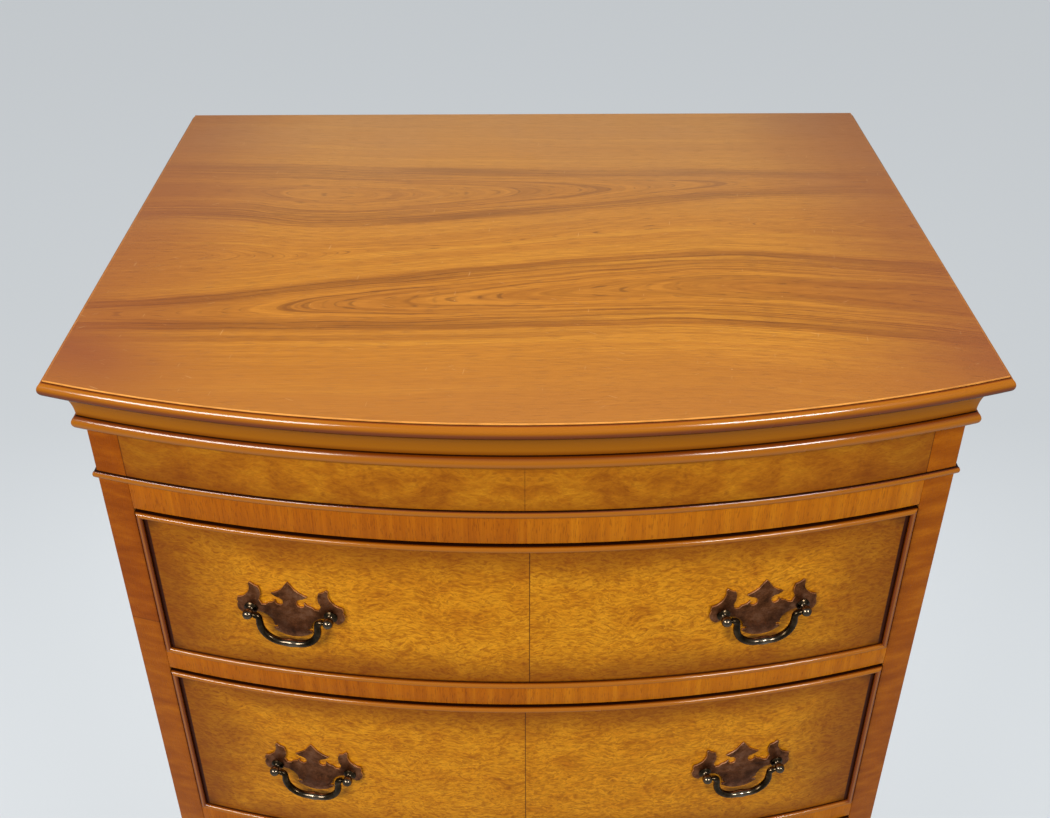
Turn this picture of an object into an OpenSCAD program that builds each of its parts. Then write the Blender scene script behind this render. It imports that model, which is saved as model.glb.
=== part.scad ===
// Bow-fronted walnut chest-on-chest, six drawers, bracket feet, swan-neck bail handles.
// Millimetres. +Z is up, the bowed front faces -Y and the floor is at z = 0.
// Plan curves share one centre, so every offset from the bowed face is an arc round it.

/* [Upper chest] */
// Width over the sides
upper_w = 571; // [540:1:600]
// Depth from the back to the front corners
corner_depth = 436.7; // [380:0.1:480]
// How far the middle of the front stands out past its corners
bow = 45.3; // [30:0.1:60]
// Thickness of the side boards, which show as the stiles
side_t = 21.5; // [16:0.5:26]
// Height of each rail between two drawers
rail_h = 18; // [14:1:26]
// How far a rail reaches back from the front corners
rail_depth = 45; // [30:1:70]
// Thickness of the floor board of the upper chest and the top board of the lower one
floor_t = 20; // [16:1:26]
// Thickness of both back panels
back_t = 5; // [4:0.5:9]

/* [Lower chest] */
// How far the lower chest stands out past the upper one, on the front and each side
step = 10; // [6:1:16]
// Thickness of the floor board of the lower chest
base_floor_t = 26; // [20:1:32]

/* [Drawer openings] */
// Height of the top drawer opening
opening_1_h = 132; // [110:1:160]
// Height of the second drawer opening
opening_2_h = 157; // [120:1:180]
// Height of the third drawer opening
opening_3_h = 182; // [140:1:200]
// Height of the fourth drawer opening, the first in the lower chest
opening_4_h = 140; // [110:1:170]
// Height of the fifth drawer opening
opening_5_h = 160; // [120:1:180]
// Height of the bottom drawer opening
opening_6_h = 180; // [140:1:200]

/* [Joints] */
// Glue line left between two pieces of one group that are joined
glue = 0.05; // [0.02:0.01:0.1]

/* [Top and cornice] */
// Thickness of the top with its moulded edge
top_t = 11.6; // [10:0.1:14]
// How far the moulded lip stands out past the upper chest
lip_out = 19.4; // [14:0.1:24]
// Radius of the lip's round nose
lip_r = 5.4; // [4:0.1:6.5]
// Depth of the quirk cut under the top veneer
quirk = 1; // [0.5:0.1:2]
// How far the quirk sits in from the lip's nose
quirk_in = 3.7; // [2.5:0.1:5]
// Width of the solid lipping let into the edge of the top
lipping_w = 10; // [7:0.5:12]
// Height of the hollow cavetto moulding
cavetto_h = 20.4; // [14:0.1:28]
// How far the cavetto stands out at its top
cavetto_out = 14.3; // [10:0.1:16]
// How far the cavetto stands out at its foot
cavetto_foot = 3.2; // [2:0.1:5]
// Height of the round bead under the cavetto
neck_bead_h = 10.4; // [6:0.1:14]
// How far the round bead stands out
neck_bead_out = 6.8; // [5.5:0.1:9]
// Height of the plain frieze
frieze_h = 35.6; // [24:0.1:50]
// Thickness of the bowed frieze board
frieze_t = 20; // [14:1:26]
// Height of the small bead under the frieze
frieze_bead_h = 5.6; // [4:0.1:8]
// How far the small bead stands out
frieze_bead_out = 2.4; // [1.5:0.1:2.7]
// Height of the rail over the top drawer
top_rail_h = 21.8; // [16:0.1:30]

/* [Waist and base] */
// How far the waist moulding reaches down over the lower chest
waist_drop = 14; // [8:1:18]
// How far the waist moulding stands up round the upper chest
waist_rise = 9; // [6:1:14]
// How far the waist moulding stands out past the lower chest
waist_out = 5; // [3:0.5:8]
// How far the base moulding stops below the bottom drawer opening
base_reveal = 2; // [1:0.5:5]
// How far the base moulding stands out past the lower chest
base_out = 9.4; // [8:0.1:14]
// Height of the upright band at the foot of the base moulding
base_band_h = 13; // [8:1:14]

/* [Feet] */
// Height of the bracket feet
foot_h = 104; // [90:1:125]
// Width of a bracket foot along the moulding
foot_w = 118; // [100:1:140]
// Width of a bracket foot where it meets the floor
foot_toe_w = 46; // [36:1:56]
// Height of the plain band over the arch of a foot
foot_band_h = 30; // [24:1:40]
// Height of the upright toe below the arch
foot_toe_h = 14; // [8:1:20]
// Thickness of the bracket boards
foot_t = 18; // [14:1:24]
// How far the feet stand out past the lower chest
foot_out = 7; // [3:0.5:8]
// Side of the square glue block in each foot
foot_block_w = 30; // [20:1:40]
// How far the glue blocks stop short of the floor
foot_block_lift = 6; // [3:1:12]

/* [Drawers] */
// Gap at each side of a drawer
side_gap = 1; // [0.6:0.1:1.6]
// Gap over a drawer
top_gap = 2; // [1:0.1:3]
// Running gap under a drawer
run_gap = 0.3; // [0.2:0.1:0.6]
// Thickness of the bowed drawer fronts
front_t = 20; // [18:1:24]
// Thickness of the drawer sides
drawer_side_t = 9.5; // [8:0.5:12]
// Thickness of the drawer backs
drawer_back_t = 8; // [6:0.5:10]
// Thickness of the drawer bottoms
drawer_bottom_t = 4; // [3:0.5:6]
// Height of the drawer bottoms over the lower edge of the sides
drawer_bottom_lift = 9; // [7:0.5:14]
// Depth of the grooves that hold the drawer bottoms
groove_d = 5; // [3:0.5:6]
// How far the drawer sides stop below the top of the front
side_drop = 5; // [3:1:12]
// Spacing of the dovetails
dovetail_pitch = 28; // [22:1:36]
// Width of a dovetail at its narrow end
dovetail_w = 13; // [10:1:16]
// How much wider a dovetail is at its far end
dovetail_flare = 3; // [1:0.5:5]

/* [Cockbead] */
// Thickness of the cockbead
cockbead_t = 4.4; // [3:0.1:6]
// How far the cockbead stands out past the drawer face
cockbead_out = 3; // [2.5:0.1:4]
// Depth of the rebate that holds the cockbead
cockbead_d = 10; // [7:0.5:12]

/* [Runners] */
// Width of the drawer runners
runner_w = 30; // [20:1:45]
// Width of the rear rail of each runner frame
rear_rail_w = 40; // [25:1:60]
// Length of the drawer stops on the back ends of the runners
stop_len = 12; // [8:1:18]
// Height of the drawer stops
stop_h = 12; // [8:1:18]

/* [Handles] */
// Distance from the end of an upper drawer to the middle of its nearer handle
handle_inset = 100; // [75:1:130]
// How far a handle's middle sits below the middle of its opening
handle_drop = 2.5; // [0:0.5:8]
// Thickness of the back plates
plate_t = 1.5; // [1:0.1:2]
// Distance between the two posts of a handle
post_pitch = 57; // [54:0.5:60]
// How far the posts sit below the middle of the plate
post_drop = 2.6; // [1:0.1:4]
// Diameter of a post where it runs through the drawer front
post_shank_d = 4; // [3:0.1:5]
// Diameter of the collar that grips the plate
collar_d = 9.6; // [8:0.1:11]
// Thickness of the collar
collar_t = 2; // [1:0.1:3]
// Diameter of the post between collar and ball
post_stem_d = 4.8; // [4:0.1:5.6]
// Diameter of the ball that ends a post
ball_d = 7.6; // [7:0.1:8.4]
// Distance from the drawer face to the middle of the ball
ball_out = 8.2; // [7.5:0.1:11]
// Thickness of the nut inside the drawer
nut_t = 3; // [2:0.5:4]
// Width of the nut across its corners
nut_w = 9; // [7.5:0.5:11]

/* [Bails] */
// Distance between the two limbs of a bail, middle to middle
bail_w = 41.4; // [38:0.2:43.6]
// Drop of a bail from its pivot to the middle of its grip
bail_drop = 22.5; // [21:0.5:28]
// Diameter of the limbs
bail_d = 5.2; // [4:0.1:5.4]
// Diameter of the grip in the middle
grip_d = 6.2; // [5:0.1:7]
// How much thinner a neck is than a limb, on each side
neck_thin = 0.3; // [0:0.1:0.6]
// Radius of the bend from a neck into a limb
neck_bend = 3.2; // [2.8:0.1:4]
// Radius of the two lower bends
grip_bend = 15.5; // [8:0.5:16]
// Diameter of the pin that turns in the ball
pin_d = 2.8; // [2:0.1:3.2]
// Depth of the pin in the ball, past the ball's middle
pin_reach = 1; // [0:0.1:1.5]
// Radial clearance of the pin in its hole
pin_clear = 0.07; // [0.04:0.01:0.1]
// End play between a neck and its ball
neck_gap = 0.35; // [0.3:0.05:0.6]

/* [Joining screws] */
// Distance between the two screws that hold the chests together
screw_pitch = 300; // [200:10:400]
// Diameter of a screw
screw_d = 5; // [4:0.5:6]
// Length of a screw
screw_len = 34; // [28:1:38]
// Diameter of a screw's head
screw_head_d = 10; // [8:0.5:12]
// Thickness of a screw's head
screw_head_t = 3; // [2:0.5:4]

/* [Hidden] */
$fn = 96;
// Facets of the long plan arcs
arc_fn = 256;
eps = 0.01;
drawers = [1, 2, 3, 4, 5, 6];
upper_drawers = 3;

// Colours, as the photograph shows them
walnut = [0.66, 0.38, 0.14];
burr = [0.76, 0.49, 0.17];
crossband = [0.70, 0.42, 0.15];
redwood = [0.42, 0.19, 0.08];
lining = [0.70, 0.56, 0.38];
panel = [0.60, 0.47, 0.31];
bronze = [0.24, 0.19, 0.14];

// Plan: radius of the bowed face, centre of all the arcs, front corners and back
face_r = (pow(upper_w / 2, 2) + pow(bow, 2)) / (2 * bow);
reach_out = max(lip_out, step + base_out);
whole_depth = corner_depth + bow + reach_out;
back_y = whole_depth / 2;
corner_y = back_y - corner_depth;
arc_y = corner_y + face_r - bow;
lower_w = upper_w + 2 * step;
inner_back_y = back_y - back_t;

// Heights, from the floor up
opening_h = [opening_1_h, opening_2_h, opening_3_h, opening_4_h, opening_5_h, opening_6_h];
lower_z = foot_h;
base_h = base_floor_t - base_reveal;
lower_h = base_floor_t + floor_t + opening_4_h + opening_5_h + opening_6_h + 2 * rail_h;
upper_z = lower_z + lower_h;
upper_open_top = upper_z + floor_t + opening_1_h + opening_2_h + opening_3_h + 2 * rail_h;
frieze_bead_z = upper_open_top + top_rail_h;
frieze_z = frieze_bead_z + frieze_bead_h;
neck_bead_z = frieze_z + frieze_h;
cavetto_z = neck_bead_z + neck_bead_h;
top_z = cavetto_z + cavetto_h;
lip_z = top_z + lip_r;
top_surface_z = top_z + top_t;
board_joint_z = frieze_bead_z + frieze_bead_h / 2;

// Half angle that every bowed run is turned through, wider than the widest moulding
turn = asin((lower_w / 2 + reach_out) / face_r) + 4;
// How far the mitre planes run inside and outside the upper chest's face
mitre_in = 30;
mitre_out = 45;

// Bail, from its pivot
ball_gap_x = post_pitch / 2 - ball_d / 2 - neck_gap;
elbow_x = bail_w / 2 + neck_bend;
limb_end = bail_drop - grip_bend;
grip_half = bail_w / 2 - grip_bend;
pin_len = post_pitch / 2 + pin_reach - neck_gap - ball_gap_x;
grip_steps = 10;
nose_steps = 10;
cavetto_steps = 14;

function is_upper(i) = i <= upper_drawers;
function case_w(i) = is_upper(i) ? upper_w : lower_w;
function case_out(i) = is_upper(i) ? 0 : step;
function case_r(i) = face_r + case_out(i);
function last_in_case(i) = is_upper(i) ? upper_drawers : len(opening_h);
function below(i, last) = i >= last ? 0 : opening_h[i] + rail_h + below(i + 1, last);
function case_floor_z(i) = is_upper(i) ? upper_z + floor_t : lower_z + base_floor_t;
function opening_z(i) = case_floor_z(i) + below(i, last_in_case(i));
function drawer_z(i) = opening_z(i) + run_gap;
function drawer_h(i) = opening_h[i - 1] - run_gap - top_gap;
function drawer_half(i) = case_w(i) / 2 - side_t - side_gap;
function handle_z(i) = opening_z(i) + opening_h[i - 1] / 2 - handle_drop;
// The handles of both chests stand over each other, at one distance along the bow
function handle_turn(i) = (drawer_half(1) - handle_inset) / case_r(i) * 180 / PI;
function drawer_end_y() = inner_back_y - stop_len - run_gap;
// y of an arc of radius r at a distance x from the middle
function arc_at(r, x) = arc_y - sqrt(r * r - x * x);
// Plan point of the corner, at an offset from the upper chest's face
function corner(out) = [upper_w / 2 + out, arc_at(face_r + out, upper_w / 2 + out)];

// Solid of the whole plan at one offset from the upper chest's face
module slab(out, z, h) {
    intersection() {
        translate([0, arc_y, z]) cylinder(r = face_r + out, h = h, $fn = arc_fn);
        translate([-upper_w / 2 - out, -whole_depth, z])
            cube([upper_w + 2 * out, whole_depth + back_y, h]);
    }
}

// Upright board that bends with the front, between two offsets
module bent_board(r, thick, half, z, h) {
    difference() {
        intersection() {
            translate([0, arc_y, z]) cylinder(r = r, h = h, $fn = arc_fn);
            translate([-half, -whole_depth, z]) cube([2 * half, whole_depth, h]);
        }
        translate([0, arc_y, z - eps]) cylinder(r = r - thick, h = h + 2 * eps, $fn = arc_fn);
    }
}

// Profile in (offset, height), turned along the bowed front
module bowed_run(r) {
    translate([0, arc_y, 0])
        rotate([0, 0, 270 - turn])
        rotate_extrude(angle = 2 * turn, $fn = arc_fn)
        translate([r, 0]) children();
}

// Profile in (offset, height), run straight along the right side
module side_run() {
    translate([upper_w / 2, back_y, 0])
        rotate([90, 0, 0])
        linear_extrude(height = whole_depth) children();
}

module front_wedge(z, h) {
    inner = corner(-mitre_in) - [glue / 2, 0];
    outer = corner(mitre_out) - [glue / 2, 0];
    translate([0, 0, z])
        linear_extrude(height = h)
        polygon([inner, outer, [outer[0], -whole_depth], [-outer[0], -whole_depth],
                 [-outer[0], outer[1]], [-inner[0], inner[1]]]);
}

module side_wedge(z, h) {
    inner = corner(-mitre_in) + [glue / 2, 0];
    outer = corner(mitre_out) + [glue / 2, 0];
    translate([0, 0, z])
        linear_extrude(height = h)
        polygon([inner, outer, [outer[0], back_y], [inner[0], back_y]]);
}

// Front length of a moulding, mitred at both ends
module front_length(z, h) {
    intersection() {
        bowed_run(face_r) children();
        front_wedge(z, h);
    }
}

// Right-hand return of a moulding, mitred at the front
module right_return(z, h) {
    intersection() {
        side_run() children();
        side_wedge(z, h);
    }
}

// Moulding in three mitred lengths: front, right return and left return
module moulding(z, h) {
    front_length(z, h) children();
    right_return(z, h) children();
    mirror([1, 0, 0]) right_return(z, h) children();
}

// Top and cornice

module top_board() {
    color(walnut) {
        slab(lip_out - quirk_in, top_surface_z - quirk, quirk);
        slab(lip_out - lipping_w, top_z, top_t - quirk);
    }
}

module lip_profile() {
    intersection() {
        union() {
            translate([lip_out - lip_r, lip_z]) circle(r = lip_r);
            translate([lip_out - lipping_w, top_z]) square([lipping_w - lip_r, top_t]);
        }
        translate([lip_out - lipping_w, top_z]) square([lipping_w, top_t - quirk]);
    }
}

module top_lipping() {
    color(redwood) moulding(top_z, top_t) lip_profile();
}

// Quarter of an ellipse, hollow, from the lip down to the bead
module cavetto_profile() {
    wide = cavetto_out - cavetto_foot;
    polygon(concat(
        [[0, cavetto_z], [0, top_z]],
        [for (k = [cavetto_steps:-1:0])
            let (a = 90 * k / cavetto_steps)
            [cavetto_out - wide * cos(a), cavetto_z + cavetto_h * sin(a)]]));
}

module cornice_cavetto() {
    color(walnut) moulding(cavetto_z, cavetto_h) cavetto_profile();
}

module neck_bead_profile() {
    r = neck_bead_h / 2;
    translate([neck_bead_out - r, neck_bead_z + r]) circle(r = r);
    translate([0, neck_bead_z]) square([neck_bead_out - r, neck_bead_h]);
}

module cornice_bead() {
    color(redwood)
        moulding(neck_bead_z, neck_bead_h)
        intersection() {
            neck_bead_profile();
            translate([0, neck_bead_z]) square([neck_bead_out, neck_bead_h]);
        }
}

// Strip planted on the face, with square edges and a nose that is half an ellipse
module frieze_bead_profile() {
    edge_out = 0.4;
    nose_out = frieze_bead_out - edge_out;
    polygon(concat(
        [[0, frieze_bead_z + frieze_bead_h], [0, frieze_bead_z]],
        [for (k = [0:nose_steps])
            let (a = 180 * k / nose_steps)
            [edge_out + nose_out * sin(a), board_joint_z - frieze_bead_h / 2 * cos(a)]]));
}

module frieze_bead() {
    color(redwood) moulding(frieze_bead_z, frieze_bead_h) frieze_bead_profile();
}

module frieze_board() {
    color(burr)
        bent_board(face_r, frieze_t, upper_w / 2 - side_t, board_joint_z, top_z - board_joint_z);
}

// Boards of a case, shared by both chests

module case_side(out, z, h) {
    w = upper_w / 2 + out;
    intersection() {
        slab(out, z, h);
        translate([w - side_t, -whole_depth, z]) cube([side_t, 2 * whole_depth, h]);
    }
}

// Board between the sides with a bowed front edge
module case_board(out, z, h, end_y) {
    half = upper_w / 2 + out - side_t;
    intersection() {
        slab(out, z, h);
        translate([-half, -whole_depth, z]) cube([2 * half, whole_depth + end_y, h]);
    }
}

module case_back(out, z, h) {
    half = upper_w / 2 + out - side_t;
    translate([-half, inner_back_y, z]) cube([2 * half, back_t, h]);
}

// Runner frame at one level: two runners and the rear rail between them
module runner_frame(i, z, h) {
    half = case_w(i) / 2 - side_t;
    for (side = [-1, 1])
        translate([side > 0 ? half - runner_w : -half, corner_y + rail_depth, z])
            cube([runner_w, inner_back_y - corner_y - rail_depth, h]);
    translate([-half + runner_w + glue, inner_back_y - rear_rail_w, z])
        cube([2 * (half - runner_w - glue), rear_rail_w, h]);
}

// Blocks that stop the sides of a closed drawer
module drawer_stops(i) {
    outer = drawer_half(i);
    for (side = [-1, 1])
        translate([side > 0 ? outer - drawer_side_t : -outer, inner_back_y - stop_len,
                   opening_z(i) + glue])
            cube([drawer_side_t, stop_len, stop_h]);
}

module upper_side_right() {
    color(walnut) case_side(0, upper_z, top_z - upper_z);
}

module upper_side_left() {
    mirror([1, 0, 0]) upper_side_right();
}

module upper_back() {
    color(panel) case_back(0, upper_z, top_z - upper_z);
}

module upper_rails() {
    rail_end = corner_y + rail_depth;
    color(crossband) {
        case_board(0, upper_open_top, board_joint_z - upper_open_top, rail_end);
        for (i = [1:upper_drawers - 1]) case_board(0, opening_z(i) - rail_h, rail_h, rail_end);
    }
}

module upper_runners() {
    color(lining) {
        runner_frame(1, upper_open_top, rail_h);
        for (i = [1:upper_drawers - 1]) runner_frame(i, opening_z(i) - rail_h, rail_h);
        for (i = [1:upper_drawers]) drawer_stops(i);
    }
}

module screw_hole(top, depth) {
    for (side = [-1, 1])
        translate([side * screw_pitch / 2, 0, top - depth]) cylinder(d = screw_d, h = depth);
}

module screw_seat() {
    for (side = [-1, 1])
        translate([side * screw_pitch / 2, 0, upper_z + floor_t - screw_head_t])
            cylinder(d = screw_head_d, h = screw_head_t);
}

module upper_bottom() {
    color(crossband)
        difference() {
            case_board(0, upper_z, floor_t, inner_back_y);
            screw_hole(upper_z + floor_t + eps, floor_t + 2 * eps);
            screw_seat();
        }
}

// Screws that run down through the floor of the upper chest into the lower one
module joining_screws() {
    color(bronze) {
        screw_hole(upper_z + floor_t - screw_head_t / 2, screw_len - screw_head_t / 2);
        screw_seat();
    }
}

// Moulding fixed to the lower chest, round the foot of the upper one
module waist_profile() {
    clear = run_gap;
    wide = step + waist_out;
    round_r = min(waist_rise, wide - clear - 1);
    difference() {
        translate([clear, upper_z - waist_drop]) square([wide - clear, waist_drop + waist_rise]);
        translate([-eps, upper_z - waist_drop - eps]) square([step + eps, waist_drop + eps]);
        difference() {
            translate([wide - round_r, upper_z + waist_rise - round_r])
                square([round_r + eps, round_r + eps]);
            translate([wide - round_r, upper_z + waist_rise - round_r]) circle(r = round_r);
        }
    }
}

module waist_moulding() {
    color(redwood) moulding(upper_z - waist_drop, waist_drop + waist_rise) waist_profile();
}

module lower_top() {
    color(crossband)
        difference() {
            case_board(step, upper_z - floor_t, floor_t, inner_back_y);
            screw_hole(upper_z + eps, screw_len - floor_t + eps);
        }
}

module lower_side_right() {
    color(walnut) case_side(step, lower_z, lower_h);
}

module lower_side_left() {
    mirror([1, 0, 0]) lower_side_right();
}

module lower_back() {
    color(panel) case_back(step, lower_z, lower_h);
}

module lower_rails() {
    color(crossband)
        for (i = [upper_drawers + 1:len(opening_h) - 1])
            case_board(step, opening_z(i) - rail_h, rail_h, corner_y + rail_depth);
}

module lower_runners() {
    color(lining) {
        for (i = [upper_drawers + 1:len(opening_h) - 1])
            runner_frame(i, opening_z(i) - rail_h, rail_h);
        for (i = [upper_drawers + 1:len(opening_h)]) drawer_stops(i);
    }
}

module lower_bottom() {
    color(crossband) case_board(step, lower_z, base_floor_t, inner_back_y);
}

// Upright band with a quarter round over it
module base_profile() {
    round_h = base_h - base_band_h;
    round_w = base_out - 1.5;
    translate([step, lower_z]) square([base_out, base_band_h]);
    translate([step, lower_z + base_band_h - eps])
        polygon(concat([[0, 0]],
            [for (k = [0:nose_steps])
                let (a = 90 * k / nose_steps)
                [round_w * cos(a), (round_h + eps) * sin(a)]]));
}

module base_moulding() {
    color(redwood) moulding(lower_z, base_h) base_profile();
}

// Feet

module foot_board_profile() {
    translate([step + foot_out - foot_t, 0]) square([foot_t, foot_h]);
}

// Elevation of a bracket foot: an upright toe, a quarter arch and a plain band over it
module foot_elevation() {
    arch_h = foot_h - foot_band_h - foot_toe_h;
    arch_w = foot_w - foot_toe_w;
    arch_r = min(arch_h, arch_w);
    difference() {
        square([foot_w, foot_h]);
        translate([foot_toe_w + arch_r, foot_toe_h + arch_h - arch_r]) circle(r = arch_r);
        translate([foot_toe_w + arch_r, -eps])
            square([arch_w - arch_r + eps, foot_toe_h + arch_h + eps]);
        translate([foot_toe_w, -eps])
            square([arch_r + eps, foot_toe_h + arch_h - arch_r + eps]);
    }
}

// The elevation carried along Y, toe outwards, to cut a board across the front or back
module foot_across() {
    translate([lower_w / 2 + foot_out, whole_depth, 0])
        rotate([90, 0, 0])
        linear_extrude(height = 2 * whole_depth)
        mirror([1, 0, 0]) foot_elevation();
}

// The elevation carried along X, to cut a side board whose toe is at y
module foot_along(y, way) {
    translate([upper_w / 4, y, 0])
        rotate([90, 0, 90])
        linear_extrude(height = upper_w)
        mirror([way < 0 ? 1 : 0, 0, 0]) foot_elevation();
}

module right_feet() {
    toe_y = corner(step + foot_out)[1];
    inner_x = lower_w / 2 + foot_out - foot_t;
    intersection() {
        front_length(0, foot_h) foot_board_profile();
        foot_across();
    }
    intersection() {
        right_return(0, foot_h) foot_board_profile();
        foot_along(toe_y, 1);
    }
    intersection() {
        right_return(0, foot_h) foot_board_profile();
        foot_along(back_y, -1);
    }
    intersection() {
        translate([0, back_y - foot_t, 0]) cube([inner_x - glue, foot_t, foot_h]);
        foot_across();
    }
}

module bracket_feet() {
    color(redwood) {
        right_feet();
        mirror([1, 0, 0]) right_feet();
    }
}

module right_blocks() {
    inner_x = lower_w / 2 + foot_out - foot_t;
    inner_r = face_r + step + foot_out - foot_t;
    front_y = arc_at(inner_r, inner_x);
    intersection() {
        translate([inner_x - foot_block_w, front_y - foot_block_w, foot_block_lift])
            cube([foot_block_w, 2 * foot_block_w, foot_h - foot_block_lift]);
        translate([0, arc_y, 0]) cylinder(r = inner_r, h = foot_h, $fn = arc_fn);
    }
    translate([inner_x - foot_block_w, back_y - foot_t - foot_block_w, foot_block_lift])
        cube([foot_block_w, foot_block_w, foot_h - foot_block_lift]);
}

module foot_blocks() {
    color(lining) {
        right_blocks();
        mirror([1, 0, 0]) right_blocks();
    }
}

// Drawers

// Carries children to the middle of one handle, with -Y pointing out of the drawer face
module at_handle(i, side, z) {
    translate([0, arc_y, z])
        rotate([0, 0, side * handle_turn(i)])
        translate([0, -case_r(i), 0]) children();
}

// Dovetails of one drawer side, cut across the thickness of the side
module tails(i) {
    half = drawer_half(i);
    inner_r = case_r(i) - front_t;
    tail_len = front_t - cockbead_d - 1;
    near_y = arc_at(inner_r, half - drawer_side_t);
    far_y = arc_at(inner_r + tail_len, half);
    usable = drawer_h(i) - side_drop - 2 * cockbead_t;
    count = floor(usable / dovetail_pitch);
    first = drawer_z(i) + cockbead_t + (usable - (count - 1) * dovetail_pitch) / 2;
    intersection() {
        bent_board(inner_r + tail_len, tail_len + eps, half, drawer_z(i), drawer_h(i));
        translate([half - drawer_side_t, 0, 0])
            rotate([90, 0, 90])
            linear_extrude(height = drawer_side_t)
            for (k = [0:count - 1])
                translate([0, first + k * dovetail_pitch])
                    polygon([[near_y + 2, -dovetail_w / 2], [near_y + 2, dovetail_w / 2],
                             [far_y - 2, dovetail_w / 2 + dovetail_flare],
                             [far_y - 2, -dovetail_w / 2 - dovetail_flare]]);
    }
}

// Drawer bottom, which runs into grooves in the sides and the front. The grooves are the
// same shape with room for glue all round.
module drawer_bottom(i, room = 0) {
    half = drawer_half(i) - drawer_side_t + groove_d + room;
    z = drawer_z(i) + drawer_bottom_lift - room;
    h = drawer_bottom_t + 2 * room;
    intersection() {
        translate([0, arc_y, z])
            cylinder(r = case_r(i) - front_t + groove_d + room, h = h, $fn = arc_fn);
        translate([-half, -whole_depth, z])
            cube([2 * half, whole_depth + drawer_end_y() + room, h]);
    }
}

// Holes for the four posts of one drawer
module post_holes(i) {
    for (side = [-1, 1])
        at_handle(i, side, handle_z(i) - post_drop)
            for (end = [-1, 1])
                translate([end * post_pitch / 2, 0, 0])
                    rotate([90, 0, 0])
                    translate([0, 0, -1.5 * front_t])
                    cylinder(d = post_shank_d, h = 2 * front_t);
}

module drawer_front(i) {
    r = case_r(i);
    half = drawer_half(i);
    z = drawer_z(i);
    h = drawer_h(i);
    color(burr)
        difference() {
            union() {
                bent_board(r - cockbead_d, front_t - cockbead_d, half, z, h);
                bent_board(r, front_t, half - cockbead_t, z + cockbead_t, h - 2 * cockbead_t);
            }
            tails(i);
            mirror([1, 0, 0]) tails(i);
            drawer_bottom(i, glue);
            post_holes(i);
        }
}

// Section of a cockbead, its round nose outwards
module cockbead_profile(z) {
    translate([-cockbead_d, z]) square([cockbead_d + cockbead_out - cockbead_t / 2, cockbead_t]);
    translate([cockbead_out - cockbead_t / 2, z + cockbead_t / 2]) circle(d = cockbead_t);
}

// Stretch of the front seen from -Y, whose ends are cut at 45 degrees towards the middle.
// It runs past the strip above and below.
module mitred_strip(half, z, way) {
    past = cockbead_t / 2;
    low = half + past;
    high = half - cockbead_t - past;
    translate([0, 0, z])
        rotate([90, 0, 0])
        linear_extrude(height = whole_depth)
        polygon([[-low, -way * past], [low, -way * past], [high, way * (cockbead_t + past)],
                 [-high, way * (cockbead_t + past)]]);
}

// Upright cockbead at the right end, with the nose of the bowed ones carried on in plan
module upright_bead(i) {
    r = case_r(i);
    half = drawer_half(i);
    z = drawer_z(i);
    h = drawer_h(i);
    nose_r = cockbead_t / 2;
    past = cockbead_t / 2;
    nose = [for (k = [0:nose_steps])
        let (a = 180 * k / nose_steps,
             x = half - nose_r + nose_r * cos(a),
             out = cockbead_out - nose_r + nose_r * sin(a))
        [x, arc_at(r + out, x)]];
    intersection() {
        difference() {
            translate([0, 0, z])
                linear_extrude(height = h)
                polygon(concat(nose, [[half - cockbead_t, corner_y + rail_depth],
                                      [half, corner_y + rail_depth]]));
            translate([0, arc_y, z - eps])
                cylinder(r = r - cockbead_d, h = h + 2 * eps, $fn = arc_fn);
        }
        rotate([90, 0, 0])
            linear_extrude(height = whole_depth)
            polygon([[half + past, z - past + glue], [half + past, z + h + past - glue],
                     [half - cockbead_t - past, z + h - cockbead_t - past - glue],
                     [half - cockbead_t - past, z + cockbead_t + past + glue]]);
    }
}

module drawer_cockbead(i) {
    r = case_r(i);
    half = drawer_half(i);
    bottom = drawer_z(i);
    top = drawer_z(i) + drawer_h(i);
    color(redwood) {
        intersection() {
            bowed_run(r) cockbead_profile(bottom);
            mitred_strip(half, bottom, 1);
        }
        intersection() {
            bowed_run(r) cockbead_profile(top - cockbead_t);
            mitred_strip(half, top, -1);
        }
        upright_bead(i);
        mirror([1, 0, 0]) upright_bead(i);
    }
}

module drawer_side(i) {
    half = drawer_half(i);
    difference() {
        union() {
            intersection() {
                translate([half - drawer_side_t, -whole_depth, drawer_z(i)])
                    cube([drawer_side_t, whole_depth + drawer_end_y(), drawer_h(i) - side_drop]);
                translate([0, arc_y, drawer_z(i)])
                    cylinder(r = case_r(i) - front_t, h = drawer_h(i), $fn = arc_fn);
            }
            tails(i);
        }
        drawer_bottom(i, glue);
    }
}

// Two sides, the back and the bottom of a drawer
module drawer_box(i) {
    inner = drawer_half(i) - drawer_side_t - glue;
    back_z = drawer_z(i) + drawer_bottom_lift + drawer_bottom_t + glue;
    back_h = drawer_h(i) - 2 * side_drop - drawer_bottom_lift - drawer_bottom_t;
    color(lining) {
        drawer_side(i);
        mirror([1, 0, 0]) drawer_side(i);
        translate([-inner, drawer_end_y() - drawer_back_t, back_z])
            cube([2 * inner, drawer_back_t, back_h]);
        drawer_bottom(i);
    }
}

// Handles

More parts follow.
